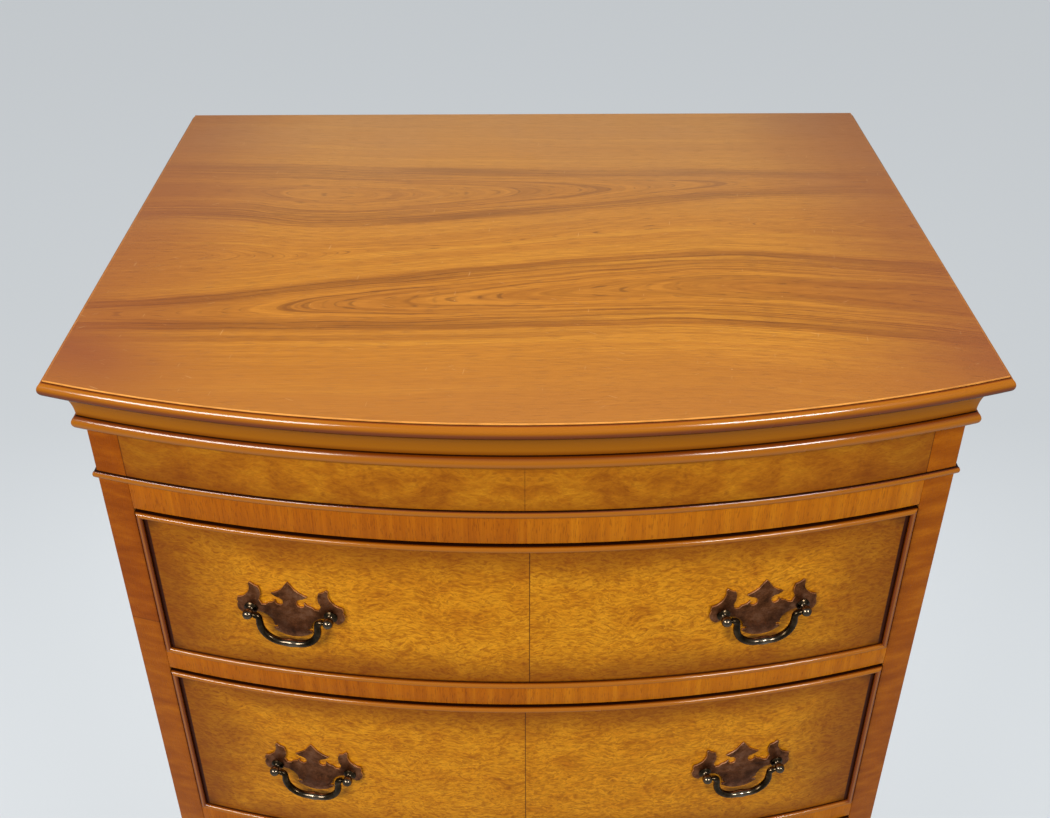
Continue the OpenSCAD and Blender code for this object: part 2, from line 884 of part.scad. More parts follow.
// Right half of the pierced back plate: crown, shoulder, horn, ear and belly
module half_plate() {
    belly_r = 19.8;
    difference() {
        union() {
            polygon([[0, 24.2], [2.2, 21.6], [4.6, 17.8], [7.4, 15.4], [12.6, 12.6], [9.6, 10.4],
                     [7, 9.8], [4.8, 8], [4.8, 0], [0, 0]]);
            polygon([[0, 4.4], [10.4, 6.8], [12.2, 4.6], [15.8, 3.3], [17.4, 1.5], [20.4, 1.3],
                     [22.2, 5.6], [20.6, 10], [20.4, 13.6], [21.4, 17.2], [24.4, 18.4],
                     [27, 20.6], [36, 11], [38, 3], [30, -9], [23, -6.6], [18, -5.4], [0, -6]]);
            translate([31.2, -2]) circle(r = 7.2);
            intersection() {
                translate([0, -5.6]) circle(r = belly_r);
                translate([0, -2 * belly_r]) square([belly_r, 2 * belly_r]);
            }
        }
        translate([7.7, 5.6]) circle(r = 2.9);
        translate([39, 16.9]) circle(r = 11.2);
        translate([24.3, -16.4]) circle(r = 11.2);
        translate([10.5 + 20, -17.8]) square([2 * belly_r, 2.6], center = true);
    }
}

module plate_outline() {
    half_plate();
    mirror([1, 0]) half_plate();
}

module handle_plate() {
    difference() {
        rotate([90, 0, 0]) linear_extrude(height = plate_t) plate_outline();
        for (end = [-1, 1])
            translate([end * post_pitch / 2, eps, -post_drop])
                rotate([90, 0, 0])
                cylinder(d = post_shank_d + 2 * glue, h = plate_t + 2 * eps);
    }
}

// Depth of the seat of a nut, which rests on the hollow inner face by its outermost corner
function post_seat(i) = glue + case_r(i)
    - sqrt(pow(case_r(i) - front_t, 2) - pow(post_pitch / 2 + nut_w / 2, 2));

// Turned post: shank, collar, stem and drilled ball. Its axis is Y and the ball is at -Y.
module handle_post(i, end) {
    inside = post_seat(i) + nut_t + 1;
    difference() {
        union() {
            translate([0, inside, 0])
                rotate([90, 0, 0])
                cylinder(d = post_shank_d, h = inside + plate_t + collar_t);
            translate([0, -plate_t - glue, 0])
                rotate([90, 0, 0])
                cylinder(d = collar_d, h = collar_t);
            translate([0, -plate_t - glue, 0])
                rotate([90, 0, 0])
                cylinder(d = post_stem_d, h = ball_out - plate_t - glue);
            // The ball's poles lie on the post's axis, clear of the hole
            translate([0, -ball_out, 0]) rotate([90, 0, 0]) rotate([0, 0, 90]) sphere(d = ball_d);
        }
        translate([end * pin_reach, -ball_out, 0])
            rotate([0, -90 * end, 0])
            cylinder(d = pin_d + 2 * pin_clear, h = ball_d);
    }
}

module handle_nut(i) {
    translate([0, post_seat(i) + nut_t, 0])
        rotate([90, 0, 0])
        difference() {
            cylinder(d = nut_w, h = nut_t, $fn = 6);
            translate([0, 0, -eps]) cylinder(d = post_shank_d + 2 * glue, h = nut_t + 2 * eps);
        }
}

// Both back plates of a drawer with their posts and nuts
module drawer_handle_mounts(i) {
    color(bronze)
        for (side = [-1, 1]) {
            at_handle(i, side, handle_z(i)) handle_plate();
            at_handle(i, side, handle_z(i) - post_drop)
                for (end = [-1, 1])
                    translate([end * post_pitch / 2, 0, 0]) {
                        handle_post(i, end);
                        handle_nut(i);
                    }
        }
}

// Right half of a bail, from its pin to the middle of the grip. The pivot is the X axis.
module half_bail() {
    neck_d = bail_d - 2 * neck_thin;
    swell = (grip_d - bail_d) / 2;
    translate([ball_gap_x, 0, 0]) rotate([0, 90, 0]) cylinder(d = pin_d, h = pin_len);
    translate([elbow_x, 0, 0]) rotate([0, 90, 0]) cylinder(d = neck_d, h = ball_gap_x - elbow_x);
    translate([elbow_x, 0, -neck_bend])
        rotate([90, 0, 0])
        rotate([0, 0, 90])
        rotate_extrude(angle = 90)
        translate([neck_bend, 0]) circle(d = neck_d);
    translate([bail_w / 2, 0, -limb_end])
        cylinder(d1 = bail_d, d2 = neck_d, h = limb_end - neck_bend);
    translate([grip_half, 0, -limb_end])
        rotate([90, 0, 0])
        rotate([0, 0, -90])
        rotate_extrude(angle = 90)
        translate([grip_bend, 0]) circle(d = bail_d);
    translate([0, 0, -bail_drop])
        rotate([0, 90, 0])
        rotate_extrude()
        polygon(concat([[0, grip_half], [0, 0]],
            [for (k = [0:grip_steps])
                let (along = k / grip_steps)
                [bail_d / 2 + swell * pow(cos(90 * along), 2), grip_half * along]]));
}

module drawer_bail(i, side) {
    color(bronze)
        at_handle(i, side, handle_z(i) - post_drop)
        translate([0, -ball_out, 0]) {
            half_bail();
            mirror([1, 0, 0]) half_bail();
        }
}

case_nodes = ["top_board", "top_lipping", "cornice_cavetto", "cornice_bead", "frieze_board",
    "frieze_bead", "upper_side_left", "upper_side_right", "upper_back", "upper_rails",
    "upper_runners", "upper_bottom", "joining_screws", "waist_moulding", "lower_top",
    "lower_side_left", "lower_side_right", "lower_back", "lower_rails", "lower_runners",
    "lower_bottom", "base_moulding", "bracket_feet", "foot_blocks"];
drawer_pieces = ["front", "cockbead", "box", "handle_mounts", "bail_left", "bail_right"];
drawer_nodes = [for (i = drawers) for (piece = drawer_pieces) str("drawer_", i, "_", piece)];

top_board();
top_lipping();
cornice_cavetto();
cornice_bead();
frieze_board();
frieze_bead();
upper_side_left();
upper_side_right();
upper_back();
upper_rails();
upper_runners();
upper_bottom();
joining_screws();
waist_moulding();
lower_top();
lower_side_left();
lower_side_right();
lower_back();
lower_rails();
lower_runners();
lower_bottom();
base_moulding();
bracket_feet();
foot_blocks();
for (i = drawers) {
    drawer_front(i);
    drawer_cockbead(i);
    drawer_box(i);
    drawer_handle_mounts(i);
    drawer_bail(i, -1);
    drawer_bail(i, 1);
}
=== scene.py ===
import math

import bpy
from mathutils import Matrix, Vector


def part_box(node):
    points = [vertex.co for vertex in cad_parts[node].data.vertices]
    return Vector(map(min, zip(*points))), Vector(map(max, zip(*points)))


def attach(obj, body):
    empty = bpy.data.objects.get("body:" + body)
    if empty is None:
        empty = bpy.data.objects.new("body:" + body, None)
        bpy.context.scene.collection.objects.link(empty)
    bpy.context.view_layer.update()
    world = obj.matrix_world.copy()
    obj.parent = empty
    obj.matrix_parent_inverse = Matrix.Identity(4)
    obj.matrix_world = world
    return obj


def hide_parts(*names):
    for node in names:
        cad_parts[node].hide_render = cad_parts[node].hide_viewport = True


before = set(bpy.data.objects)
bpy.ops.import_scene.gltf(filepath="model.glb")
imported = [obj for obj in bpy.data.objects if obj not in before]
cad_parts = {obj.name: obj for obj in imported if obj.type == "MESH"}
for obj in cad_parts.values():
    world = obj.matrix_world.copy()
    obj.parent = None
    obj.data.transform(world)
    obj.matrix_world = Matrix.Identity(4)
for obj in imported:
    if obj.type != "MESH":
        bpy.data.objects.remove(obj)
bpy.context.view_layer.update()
bpy.ops.object.select_all(action="DESELECT")
mm = 0.001

# The plan: every bowed face is an arc round one centre, as in the case itself
plan = {"bow": 45.3 * mm, "cornerDepth": 436.7 * mm, "step": 10 * mm, "joint": 0.05 * mm,
        "drawers": 6, "upperDrawers": 3}
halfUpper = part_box("upper_side_right")[1].x
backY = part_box("upper_back")[1].y
faceRadius = (halfUpper ** 2 + plan["bow"] ** 2) / (2 * plan["bow"])
arcY = backY - plan["cornerDepth"] - plan["bow"] + faceRadius
drawerNumbers = range(1, plan["drawers"] + 1)
print("frame loaded: face radius", round(faceRadius, 4), "arc centre y", round(arcY, 4))


def drawerName(number):
    return "drawer_" + str(number)


def drawerRadius(number):
    # The lower chest is wider and deeper by one step all round
    return faceRadius + (0 if number <= plan["upperDrawers"] else plan["step"])


def heights(nodeName):
    low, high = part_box(nodeName)
    return low.z, high.z


# Shader helpers. A socket knows its own node tree, so most of them need no other.

def srgb(red, green, blue):
    def linear(level):
        share = level / 255
        return share / 12.92 if share <= 0.04045 else ((share + 0.055) / 1.055) ** 2.4
    return (linear(red), linear(green), linear(blue), 1)


def isSocket(value):
    return isinstance(value, bpy.types.NodeSocket)


def treeOf(*values):
    return next(value.id_data for value in values if isSocket(value))


def feed(node, inputs):
    # Links what is a socket, and sets what is a plain value
    for name, value in inputs.items():
        if isSocket(value):
            node.id_data.links.new(value, node.inputs[name])
        else:
            node.inputs[name].default_value = value
    return node


def addNode(tree, kind, inputs=None, **settings):
    node = tree.nodes.new("ShaderNode" + kind)
    for name, value in settings.items():
        setattr(node, name, value)
    return feed(node, inputs or {})


def calculate(operation, first, second=0.5, third=0.5, clamp=False):
    return addNode(treeOf(first, second, third), "Math", {0: first, 1: second, 2: third},
                   operation=operation, use_clamp=clamp).outputs[0]


def plus(first, second, clamp=False):
    return calculate("ADD", first, second, clamp=clamp)


def minus(first, second):
    return calculate("SUBTRACT", first, second)


def times(first, second, clamp=False):
    return calculate("MULTIPLY", first, second, clamp=clamp)


def timesPlus(value, factor, added):
    return calculate("MULTIPLY_ADD", value, factor, added)


def larger(first, second):
    return calculate("MAXIMUM", first, second)


def smaller(first, second):
    return calculate("MINIMUM", first, second)


def unsigned(value):
    return calculate("ABSOLUTE", value)


def vectorMath(operation, first, second):
    return addNode(treeOf(first, second), "VectorMath", {0: first, 1: second}, operation=operation).outputs[0]


def axes(vector):
    return addNode(vector.id_data, "SeparateXYZ", {0: vector}).outputs


def fromAxes(x, y, z):
    return addNode(treeOf(x, y, z), "CombineXYZ", {"X": x, "Y": y, "Z": z}).outputs[0]


def reordered(vector, order):
    # The axis that the grain runs along comes first
    parts = axes(vector)
    return fromAxes(*[parts[axis] for axis in order])


def scaled(vector, scale, location=(0, 0, 0)):
    inputs = {"Vector": vector, "Scale": scale, "Location": location}
    return addNode(vector.id_data, "Mapping", inputs).outputs[0]


def noise(vector, scale=1.0, detail=2.0, roughness=0.5, output="Fac"):
    inputs = {"Vector": vector, "Scale": scale, "Detail": detail, "Roughness": roughness}
    return addNode(vector.id_data, "TexNoise", inputs).outputs[output]


def cells(vector, scale):
    # How far the nearest cell's middle is, and a chance number of that cell's own
    nearest = addNode(vector.id_data, "TexVoronoi", {"Vector": vector, "Scale": scale}, feature="F1").outputs
    chance = addNode(vector.id_data, "SeparateColor", {0: nearest["Color"]}).outputs[0]
    return nearest["Distance"], chance


def ramp(factor, stops):
    node = addNode(factor.id_data, "ValToRGB", {"Fac": factor})
    while len(node.color_ramp.elements) < len(stops):
        node.color_ramp.elements.new(0.5)
    for element, (place, colour) in zip(node.color_ramp.elements, stops):
        element.position = place
        element.color = colour if isinstance(colour, tuple) else (colour, colour, colour, 1)
    return node.outputs["Color"]


def between(value, low, high, outLow=0.0, outHigh=1.0):
    inputs = {"Value": value, "From Min": low, "From Max": high, "To Min": outLow, "To Max": outHigh}
    return addNode(value.id_data, "MapRange", inputs, interpolation_type="SMOOTHSTEP").outputs[0]


def blendColour(factor, first, second, kind="MIX"):
    return addNode(treeOf(factor, first, second), "Mix", {0: factor, 6: first, 7: second},
                   data_type="RGBA", blend_type=kind).outputs[2]


def shaded(colour, shade):
    return blendColour(1.0, colour, shade, "MULTIPLY")


def bump(height, distance):
    return addNode(height.id_data, "Bump", {"Height": height, "Distance": distance}).outputs[0]


def objectPlace(tree):
    return addNode(tree, "TexCoord").outputs["Object"]


def painted(tree, name, output="Fac"):
    return addNode(tree, "Attribute", attribute_name=name).outputs[output]


def facing(tree, direction):
    # Where the surface faces a direction of the piece itself
    normal = addNode(tree, "TexCoord").outputs["Normal"]
    dot = addNode(tree, "VectorMath", {0: normal, 1: direction}, operation="DOT_PRODUCT")
    return between(dot.outputs["Value"], 0.45, 0.55)


def makeGroup(name, inputs, outputs):
    # "Vector" and "Along" are vectors, and every other input and output is a number
    group = bpy.data.node_groups.new(name, "ShaderNodeTree")
    for way, labels in (("INPUT", inputs), ("OUTPUT", outputs)):
        for label in labels:
            kind = "Vector" if label in ("Vector", "Along") else "Float"
            group.interface.new_socket(name=label, in_out=way, socket_type="NodeSocket" + kind)
    return group, group.nodes.new("NodeGroupInput").outputs, group.nodes.new("NodeGroupOutput")


def place(group, inputs):
    return addNode(treeOf(*inputs.values()), "Group", inputs, node_tree=group).outputs


def startMaterial(name):
    material = bpy.data.materials.new(name)
    material.use_nodes = True
    tree = material.node_tree
    tree.nodes.clear()
    surface = addNode(tree, "BsdfPrincipled")
    addNode(tree, "OutputMaterial", {"Surface": surface.outputs[0]})
    return material, tree, surface


# Shared effects

def makeStraightGrain():
    # X runs along the grain, in metres
    group, given, result = makeGroup(
        "straightGrain", ["Vector", "Line width", "Wander"], ["Bands", "Fibre", "Pores"])
    drift = noise(scaled(given["Vector"], (3, 9, 9)))
    offset = times(minus(drift, 0.5), given["Wander"])
    bent = vectorMath("ADD", given["Vector"], fromAxes(0, offset, offset))
    perMetre = calculate("DIVIDE", 1.0, given["Line width"])
    bands = noise(vectorMath("MULTIPLY", bent, fromAxes(4.0, perMetre, perMetre)), detail=4, roughness=0.6)
    fibre = noise(scaled(bent, (22, 1500, 1500)), detail=3, roughness=0.65)
    pores = noise(scaled(bent, (150, 1500, 1500)), detail=1)
    feed(result, {"Bands": bands, "Fibre": fibre, "Pores": between(pores, 0.58, 0.70)})
    return group


# Four growth lines of the top, from its left end to its right, in millimetres from its middle
grainLines = {
    "back": [(-320, 138), (-190, 133), (-100, 127), (0, 122), (80, 118), (160, 117), (320, 112)],
    "middleBack": [(-320, 36), (-229, 34), (-157, 21), (-86, 26), (21, 43), (129, 65), (200, 73), (320, 76)],
    "middleFront": [(-320, -101), (-229, -93), (-121, -68), (-14, -50),
                    (71, -37), (143, -29), (200, -35), (320, -54)],
    "front": [(-320, -133), (-150, -134), (0, -131), (60, -128), (115, -127), (200, -138), (320, -163)]}
grainField = {"wide": 640, "deep": 500}


def crossingLine(x, places):
    # The curve reads and gives shares of the field, from 0 to 1
    wide, deep = grainField["wide"], grainField["deep"]
    node = addNode(x.id_data, "FloatCurve", {"Value": timesPlus(x, 1 / (wide * mm), 0.5)})
    curve = node.mapping.curves[0]
    for _ in places[2:]:
        curve.points.new(0.5, 0.5)
    for point, (across, up) in zip(curve.points, places):
        point.location = (across / wide + 0.5, up / deep + 0.5)
    node.mapping.update()
    return timesPlus(node.outputs[0], deep * mm, -deep * mm / 2)


def makeFlatSawnGrain():
    # Two tall arches side by side: one lies open to the left at the back, one open to the right in front
    group, given, result = makeGroup(
        "flatSawnGrain", ["Vector"], ["Rings", "Front lines", "Fibre", "Pores", "Along"])
    here = axes(given["Vector"])
    slow = noise(scaled(given["Vector"], (5, 14, 14)))
    quick = noise(scaled(given["Vector"], (14, 60, 60)), detail=3)
    wander = plus(times(minus(slow, 0.5), 0.010), times(minus(quick, 0.5), 0.006))
    y = plus(here["Y"], wander)
    lines = {name: crossingLine(here["X"], places) for name, places in grainLines.items()}

    def rings(upper, lower):
        # Rises from nothing on both flanks of an arch to its axis, and falls away outside
        middle = times(plus(upper, lower), 0.5)
        half = times(minus(upper, lower), 0.5)
        away = unsigned(minus(y, middle))
        squares = minus(times(half, half), times(away, away))
        inside = calculate("DIVIDE", larger(squares, 0.0), times(half, 2.0))
        return minus(inside, larger(minus(away, half), 0.0))

    valley = times(plus(lines["middleBack"], lines["middleFront"]), 0.5)
    share = between(minus(y, valley), -0.03, 0.03)
    arches = {0: share, 2: rings(lines["middleFront"], lines["front"]),
              3: rings(lines["back"], lines["middleBack"])}
    ring = addNode(group, "Mix", arches, data_type="FLOAT").outputs[0]
    along = fromAxes(here["X"], ring, share)
    fibre = noise(scaled(along, (9, 1100, 1)), detail=4, roughness=0.7)
    pores = noise(scaled(along, (70, 2600, 1)), detail=1)
    feed(result, {"Rings": ring, "Front lines": minus(lines["front"], y), "Fibre": fibre,
                  "Pores": between(pores, 0.60, 0.72), "Along": along})
    return group


def makeBurr():
    group, given, result = makeGroup(
        "burrFigure", ["Vector"], ["Clouds", "Flames", "Flecks", "Eyes", "Fibre"])

    def swirled(vector, scale, amount):
        centred = vectorMath("SUBTRACT", noise(vector, scale, detail=1, output="Color"), (0.5, 0.5, 0.5))
        move = addNode(group, "VectorMath", {0: centred, "Scale": amount}, operation="SCALE").outputs[0]
        return vectorMath("ADD", vector, move)

    wide = swirled(given["Vector"], 24.0, 0.018)
    tight = swirled(wide, 120.0, 0.0054)
    clouds = noise(scaled(wide, (34, 34, 62)), detail=5, roughness=0.66)
    flames = noise(scaled(tight, (190, 190, 520)), detail=3, roughness=0.6)
    flecks = noise(scaled(tight, (300, 300, 800), (3, 1, 7)))
    fibre = noise(scaled(tight, (500, 500, 1700)))
    distance, chance = cells(wide, 210)
    ring = ramp(distance, [(0.06, 0.4), (0.14, 1.0), (0.22, 0.3), (0.30, 0.6), (0.42, 0.0)])
    cluster = noise(given["Vector"], scale=30, detail=1)
    eyes = times(ring, times(between(chance, 0.35, 0.60), between(cluster, 0.55, 0.62)))
    feed(result, {"Clouds": clouds, "Flames": flames, "Flecks": flecks, "Eyes": eyes, "Fibre": fibre})
    return group


def makeHandling():
    # Short fine scratches in three directions, and specks
    group, given, result = makeGroup("handlingMarks", ["Vector", "Amount"], ["Scratches"])
    distance, chance = cells(given["Vector"], 45)
    marks = times(between(distance, 0.018, 0.030, 1.0, 0.0), calculate("GREATER_THAN", chance, 0.75))
    for angle, shift in ((0.5, 0.0), (1.7, 3.1), (2.6, 7.7)):
        turning = {"Vector": given["Vector"], "Rotation": (0, 0, angle), "Location": (shift, shift, 0)}
        turned = addNode(group, "Mapping", turning).outputs[0]
        marks = larger(marks, between(noise(scaled(turned, (70, 1300, 70)), detail=0), 0.86, 0.89))
    feed(result, {"Scratches": times(marks, given["Amount"])})
    return group


def makeWornEdge():
    # Breaks a smooth band of wear into chips and rubbed patches
    group, given, result = makeGroup("wornEdge", ["Vector", "Band", "Amount"], ["Mask", "Chips"])
    rub = noise(scaled(given["Vector"], (60, 240, 240)), detail=4, roughness=0.65)
    chip = noise(scaled(given["Vector"], (420, 900, 900)))
    rubbed = times(between(rub, 0.42, 0.68), given["Band"])
    chipped = times(between(chip, 0.60, 0.68), given["Band"])
    feed(result, {"Mask": times(rubbed, given["Amount"], clamp=True),
                  "Chips": times(chipped, given["Amount"], clamp=True)})
    return group


straightGrain = makeStraightGrain()
flatSawnGrain = makeFlatSawnGrain()
burrFigure = makeBurr()
handlingMarks = makeHandling()
wornEdge = makeWornEdge()


# Woods and metals

def straightWood(vector, look):
    # Colour and height of plain straight-grained wood
    inputs = {"Vector": vector, "Line width": look["lineWidth"], "Wander": look["wander"]}
    grain = place(straightGrain, inputs)
    colour = ramp(grain["Bands"], [(0.28, look["dark"]), (0.50, look["middle"]), (0.72, look["light"])])
    colour = shaded(colour, ramp(grain["Fibre"], [(0.30, 1 - look["fibre"]), (0.65, 1.0)]))
    colour = blendColour(times(grain["Pores"], look["pores"]), colour, look["poreColour"])
    return colour, minus(times(grain["Fibre"], 0.4), grain["Pores"])


def finishWood(surface, colour, height, look):
    smudge = noise(objectPlace(surface.id_data), scale=14, detail=4)
    feed(surface, {
        "Base Color": colour, "Normal": bump(height, look["relief"]),
        "Roughness": between(smudge, 0.3, 0.7, look["roughness"] - 0.05, look["roughness"] + 0.06),
        "Specular IOR Level": look["specular"], "Coat Weight": look["coat"],
        "Coat Roughness": look["coatRoughness"], "Coat IOR": look.get("coatIor", 1.5)})


# The cornice lip's section. The board's own edge shows as a fine line inside the lip's nose.
lip = {"out": 19.38 * mm, "nose": 5.4 * mm, "depth": 10 * mm, "quirkIn": 3.7 * mm,
       "quirkSteps": (0.9 * mm, 0.4 * mm, 0, -1 * mm)}
topWalnut = {
    "dark": srgb(122, 66, 16), "streak": srgb(156, 92, 24), "brown": srgb(176, 109, 32),
    "middle": srgb(191, 123, 35), "light": srgb(206, 139, 42), "pore": srgb(90, 48, 12),
    "red": srgb(142, 77, 38), "roomSheen": srgb(192, 143, 90),
    "scratch": srgb(232, 188, 130), "bare": srgb(232, 156, 66),
    "zonesPerMetre": 12.5, "lines": 0.68, "gold": 0.75, "hairs": 0.85, "pores": 0.5, "scratches": 0.4,
    "roomSheenBehind": 0.46, "redEnds": 0.66, "redFront": 0.60, "brownFront": 0.45,
    "specular": 0.30, "roughness": 0.42, "relief": 0.00008, "coat": 0.14, "coatRoughness": 0.3}


def topFigure(here, grain, look):
    # Zones, lines and hairs that follow the growth rings, and the fibre over them
    along = grain["Along"]
    wobble = noise(scaled(along, (6, 140, 3)), detail=3, roughness=0.6)
    ring = plus(grain["Rings"], times(minus(wobble, 0.5), 0.010))
    colour = ramp(timesPlus(ring, look["zonesPerMetre"], 0.5), [
        (0.10, look["middle"]), (0.36, look["light"]), (0.44, look["middle"]), (0.47, look["streak"]),
        (0.495, look["dark"]), (0.53, look["dark"]), (0.58, look["streak"]), (0.65, look["middle"]),
        (0.71, look["brown"]), (0.76, look["middle"]), (0.84, look["brown"]), (0.95, look["middle"])])
    strength = noise(scaled(along, (5, 12, 7)), detail=1)
    colour = blendColour(between(strength, 0.35, 0.62, 0.82, 0.26), colour, look["middle"])
    inArch = between(grain["Rings"], -0.012, 0.004, 0.35, 1.0)
    line = noise(scaled(along, (3, 230, 5)), detail=5, roughness=0.62)
    lines = times(between(line, 0.49, 0.64, 0.0, look["lines"]), inArch)
    colour = blendColour(lines, colour, look["streak"])
    second = ramp(times(grain["Front lines"], 20.0), [
        (0.0, 0.0), (0.17, 0.1), (0.25, 0.9), (0.29, 0.5), (0.33, 0.9), (0.37, 0.0)])
    toLeft = between(axes(here)["X"], -0.05, 0.14, 0.8, 0.1)
    colour = blendColour(times(second, toLeft), colour, look["streak"])
    gold = noise(scaled(along, (2, 110, 4), (5, 0, 0)), detail=3)
    colour = blendColour(between(gold, 0.50, 0.70, 0.0, look["gold"]), colour, look["light"])
    hair = noise(scaled(along, (2.2, 620, 3), (2, 0, 0)), detail=3, roughness=0.7)
    fromStreak = unsigned(timesPlus(ring, look["zonesPerMetre"], -0.06))
    hairs = times(between(hair, 0.50, 0.60), between(fromStreak, 0.02, 0.30, look["hairs"], 0.16))
    colour = blendColour(times(hairs, inArch), colour, look["dark"])
    colour = shaded(colour, ramp(grain["Fibre"], [
        (0.36, (0.84, 0.80, 0.70, 1)), (0.62, (1.04, 1.04, 1.06, 1))]))
    short = noise(scaled(here, (70, 1100, 1)))
    colour = shaded(colour, ramp(short, [(0.35, (0.89, 0.85, 0.78, 1)), (0.65, (1.06, 1.06, 1.05, 1))]))
    return blendColour(times(grain["Pores"], look["pores"]), colour, look["pore"])


def topPatinaAndSheen(colour, here, grain, look):
    # Paler at the back as a painted sheen of the pale room, red at the ends and in front, and rubbed bare
    # along the arris
    parts = axes(here)
    cloudy = noise(here, scale=8, detail=3)

    def clouded(value, amount):
        return plus(value, times(cloudy, amount))

    boardOut = lip["out"] - lip["quirkIn"]
    fromMiddle = unsigned(parts["X"])
    squares = plus(calculate("POWER", parts["X"], 2.0), calculate("POWER", minus(arcY, parts["Y"]), 2.0))
    toFront = minus(faceRadius + boardOut, calculate("SQRT", squares))
    toSide = minus(halfUpper + boardOut, fromMiddle)
    # Painted reflection: paler and greyer towards the back, as the pale room shows on the top at a grazing
    # angle
    behind = between(clouded(parts["Y"], 0.06), -0.06, 0.28, 0.0, look["roomSheenBehind"])
    colour = blendColour(behind, colour, look["roomSheen"])
    ends = times(between(clouded(fromMiddle, 0.06), 0.19, 0.35), look["redEnds"])
    toLeft = between(clouded(parts["X"], 0.08), -0.26, -0.14, 1.0, 0.55)
    front = times(between(clouded(toFront, 0.05), 0.03, 0.11, 1.0, 0.0), toLeft)
    reddened = plus(ends, times(front, look["redFront"]), clamp=True)
    colour = blendColour(reddened, colour, look["red"])
    nearFront = between(clouded(grain["Front lines"], 0.05), 0.03, 0.10, 0.0, look["brownFront"])
    colour = blendColour(nearFront, colour, look["brown"])
    marks = place(handlingMarks, {"Vector": here, "Amount": look["scratches"]})
    colour = blendColour(marks["Scratches"], colour, look["scratch"])
    arris = larger(between(toFront, 0.0004, 0.0011, 1.0, 0.0), between(toSide, 0.0004, 0.0011, 0.3, 0.0))
    rub = between(noise(here, scale=60, detail=3), 0.3, 0.6, 0.35, 0.9)
    return blendColour(times(arris, rub), colour, look["bare"])


def makeTopWalnut():
    material, tree, surface = startMaterial("walnutTop")
    here = objectPlace(tree)
    grain = place(flatSawnGrain, {"Vector": here})
    colour = topPatinaAndSheen(topFigure(here, grain, topWalnut), here, grain, topWalnut)
    finishWood(surface, colour, minus(times(grain["Fibre"], 0.3), grain["Pores"]), topWalnut)
    return material


# The near-black is used for the leaf joint and for the painted shade beside the cockbead
burrWalnut = {
    "dark": srgb(178, 106, 10), "middle": srgb(199, 128, 16), "light": srgb(210, 141, 24),
    "clouds": (0.28, 0.72), "flame": 0.17, "fibre": 0.14, "flecks": 0.6, "eyes": 0.5, "joint": 0.8,
    "fleck": srgb(136, 74, 8), "eye": srgb(120, 62, 8), "edge": srgb(112, 48, 0), "line": srgb(40, 10, 6),
    "specular": 0.12, "roughness": 0.36, "relief": 0.00005, "coat": 0.08, "coatRoughness": 0.2}
friezeWalnut = dict(burrWalnut, dark=srgb(142, 76, 4), middle=srgb(170, 101, 10), light=srgb(190, 123, 18),
                    clouds=(0.30, 0.68), flame=0.08, fibre=0.10, flecks=0.4, eyes=0.6, joint=0.3)


def burrColour(vector, look):
    burr = place(burrFigure, {"Vector": vector})
    lowest, highest = look["clouds"]
    colour = ramp(burr["Clouds"], [(lowest, look["dark"]), (0.49, look["middle"]), (highest, look["light"])])
    marked, lifted = 1 - look["flame"] * 1.4, 1 + look["flame"]
    colour = shaded(colour, ramp(burr["Flames"], [
        (0.38, (marked, marked ** 1.5, marked ** 2, 1)), (0.50, (1, 1, 1, 1)),
        (0.62, (lifted, lifted, lifted * 1.1, 1))]))
    colour = shaded(colour, ramp(burr["Fibre"], [(0.38, 1 - look["fibre"]), (0.60, 1 + look["fibre"] * 0.4)]))
    colour = blendColour(between(burr["Flecks"], 0.58, 0.68, 0.0, look["flecks"]), colour, look["fleck"])
    colour = blendColour(times(burr["Eyes"], look["eyes"]), colour, look["eye"])
    return colour, minus(times(burr["Flames"], 0.5), burr["Eyes"])


def makeBurrFace(name, nodeName, seed, look, jointX, matched=False, framed=True):
    # Two leaves of burr that meet in a fine line. A framed face darkens towards its cockbead.
    material, tree, surface = startMaterial(name)
    here = objectPlace(tree)
    low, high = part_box(nodeName)
    parts = axes(here)
    fromJoint = minus(parts["X"], jointX)
    leafX = unsigned(fromJoint)
    if not matched:
        # The right leaf is cut from another place in the burr
        leafX = timesPlus(calculate("GREATER_THAN", fromJoint, 0.0), 0.9, leafX)
    colour, height = burrColour(fromAxes(leafX, 0.31 * seed, parts["Z"]), look)
    toEnd = minus(high.x, unsigned(parts["X"]))
    toRim = smaller(minus(high.z, parts["Z"]), minus(parts["Z"], low.z))
    cloudy = noise(here, scale=28, detail=3)
    if framed:
        spread = plus(smaller(times(toEnd, 0.45), toRim), times(cloudy, 0.02))
        colour = blendColour(between(spread, 0.012, 0.050, 0.75, 0.0), colour, look["edge"])
        # Painted shade beside the cockbead, with dark wax in the crease: a near-black band inside each
        # upright, a dark line along the level strips, and darker corners
        uprightShade = between(toEnd, 0.0070, 0.0080, 0.95, 0.0)
        level = between(toRim, 0.0046, 0.0060, 0.8, 0.0)
        corner = between(plus(toEnd, toRim), 0.012, 0.030, 0.6, 0.0)
        colour = blendColour(larger(uprightShade, larger(level, corner)), colour, look["line"])
    else:
        spread = plus(toRim, times(cloudy, 0.012))
        colour = blendColour(between(spread, 0.008, 0.022, 0.35, 0.0), colour, look["edge"])
        ends = plus(toEnd, times(cloudy, 0.05))
        colour = blendColour(between(ends, 0.01, 0.15, 0.5, 0.0), colour, look["edge"])
        colour = blendColour(between(toEnd, 0.0002, 0.0007, 0.6, 0.0), colour, look["line"])
    joint = between(unsigned(fromJoint), 0.00012, 0.00045, 1.0, 0.0)
    colour = blendColour(times(joint, look["joint"]), colour, look["line"])
    plain, _ = straightWood(here, drawerWood)
    colour = blendColour(facing(tree, (0, -1, 0)), plain, colour)
    finishWood(surface, colour, minus(height, times(joint, 3.0)), look)
    return material


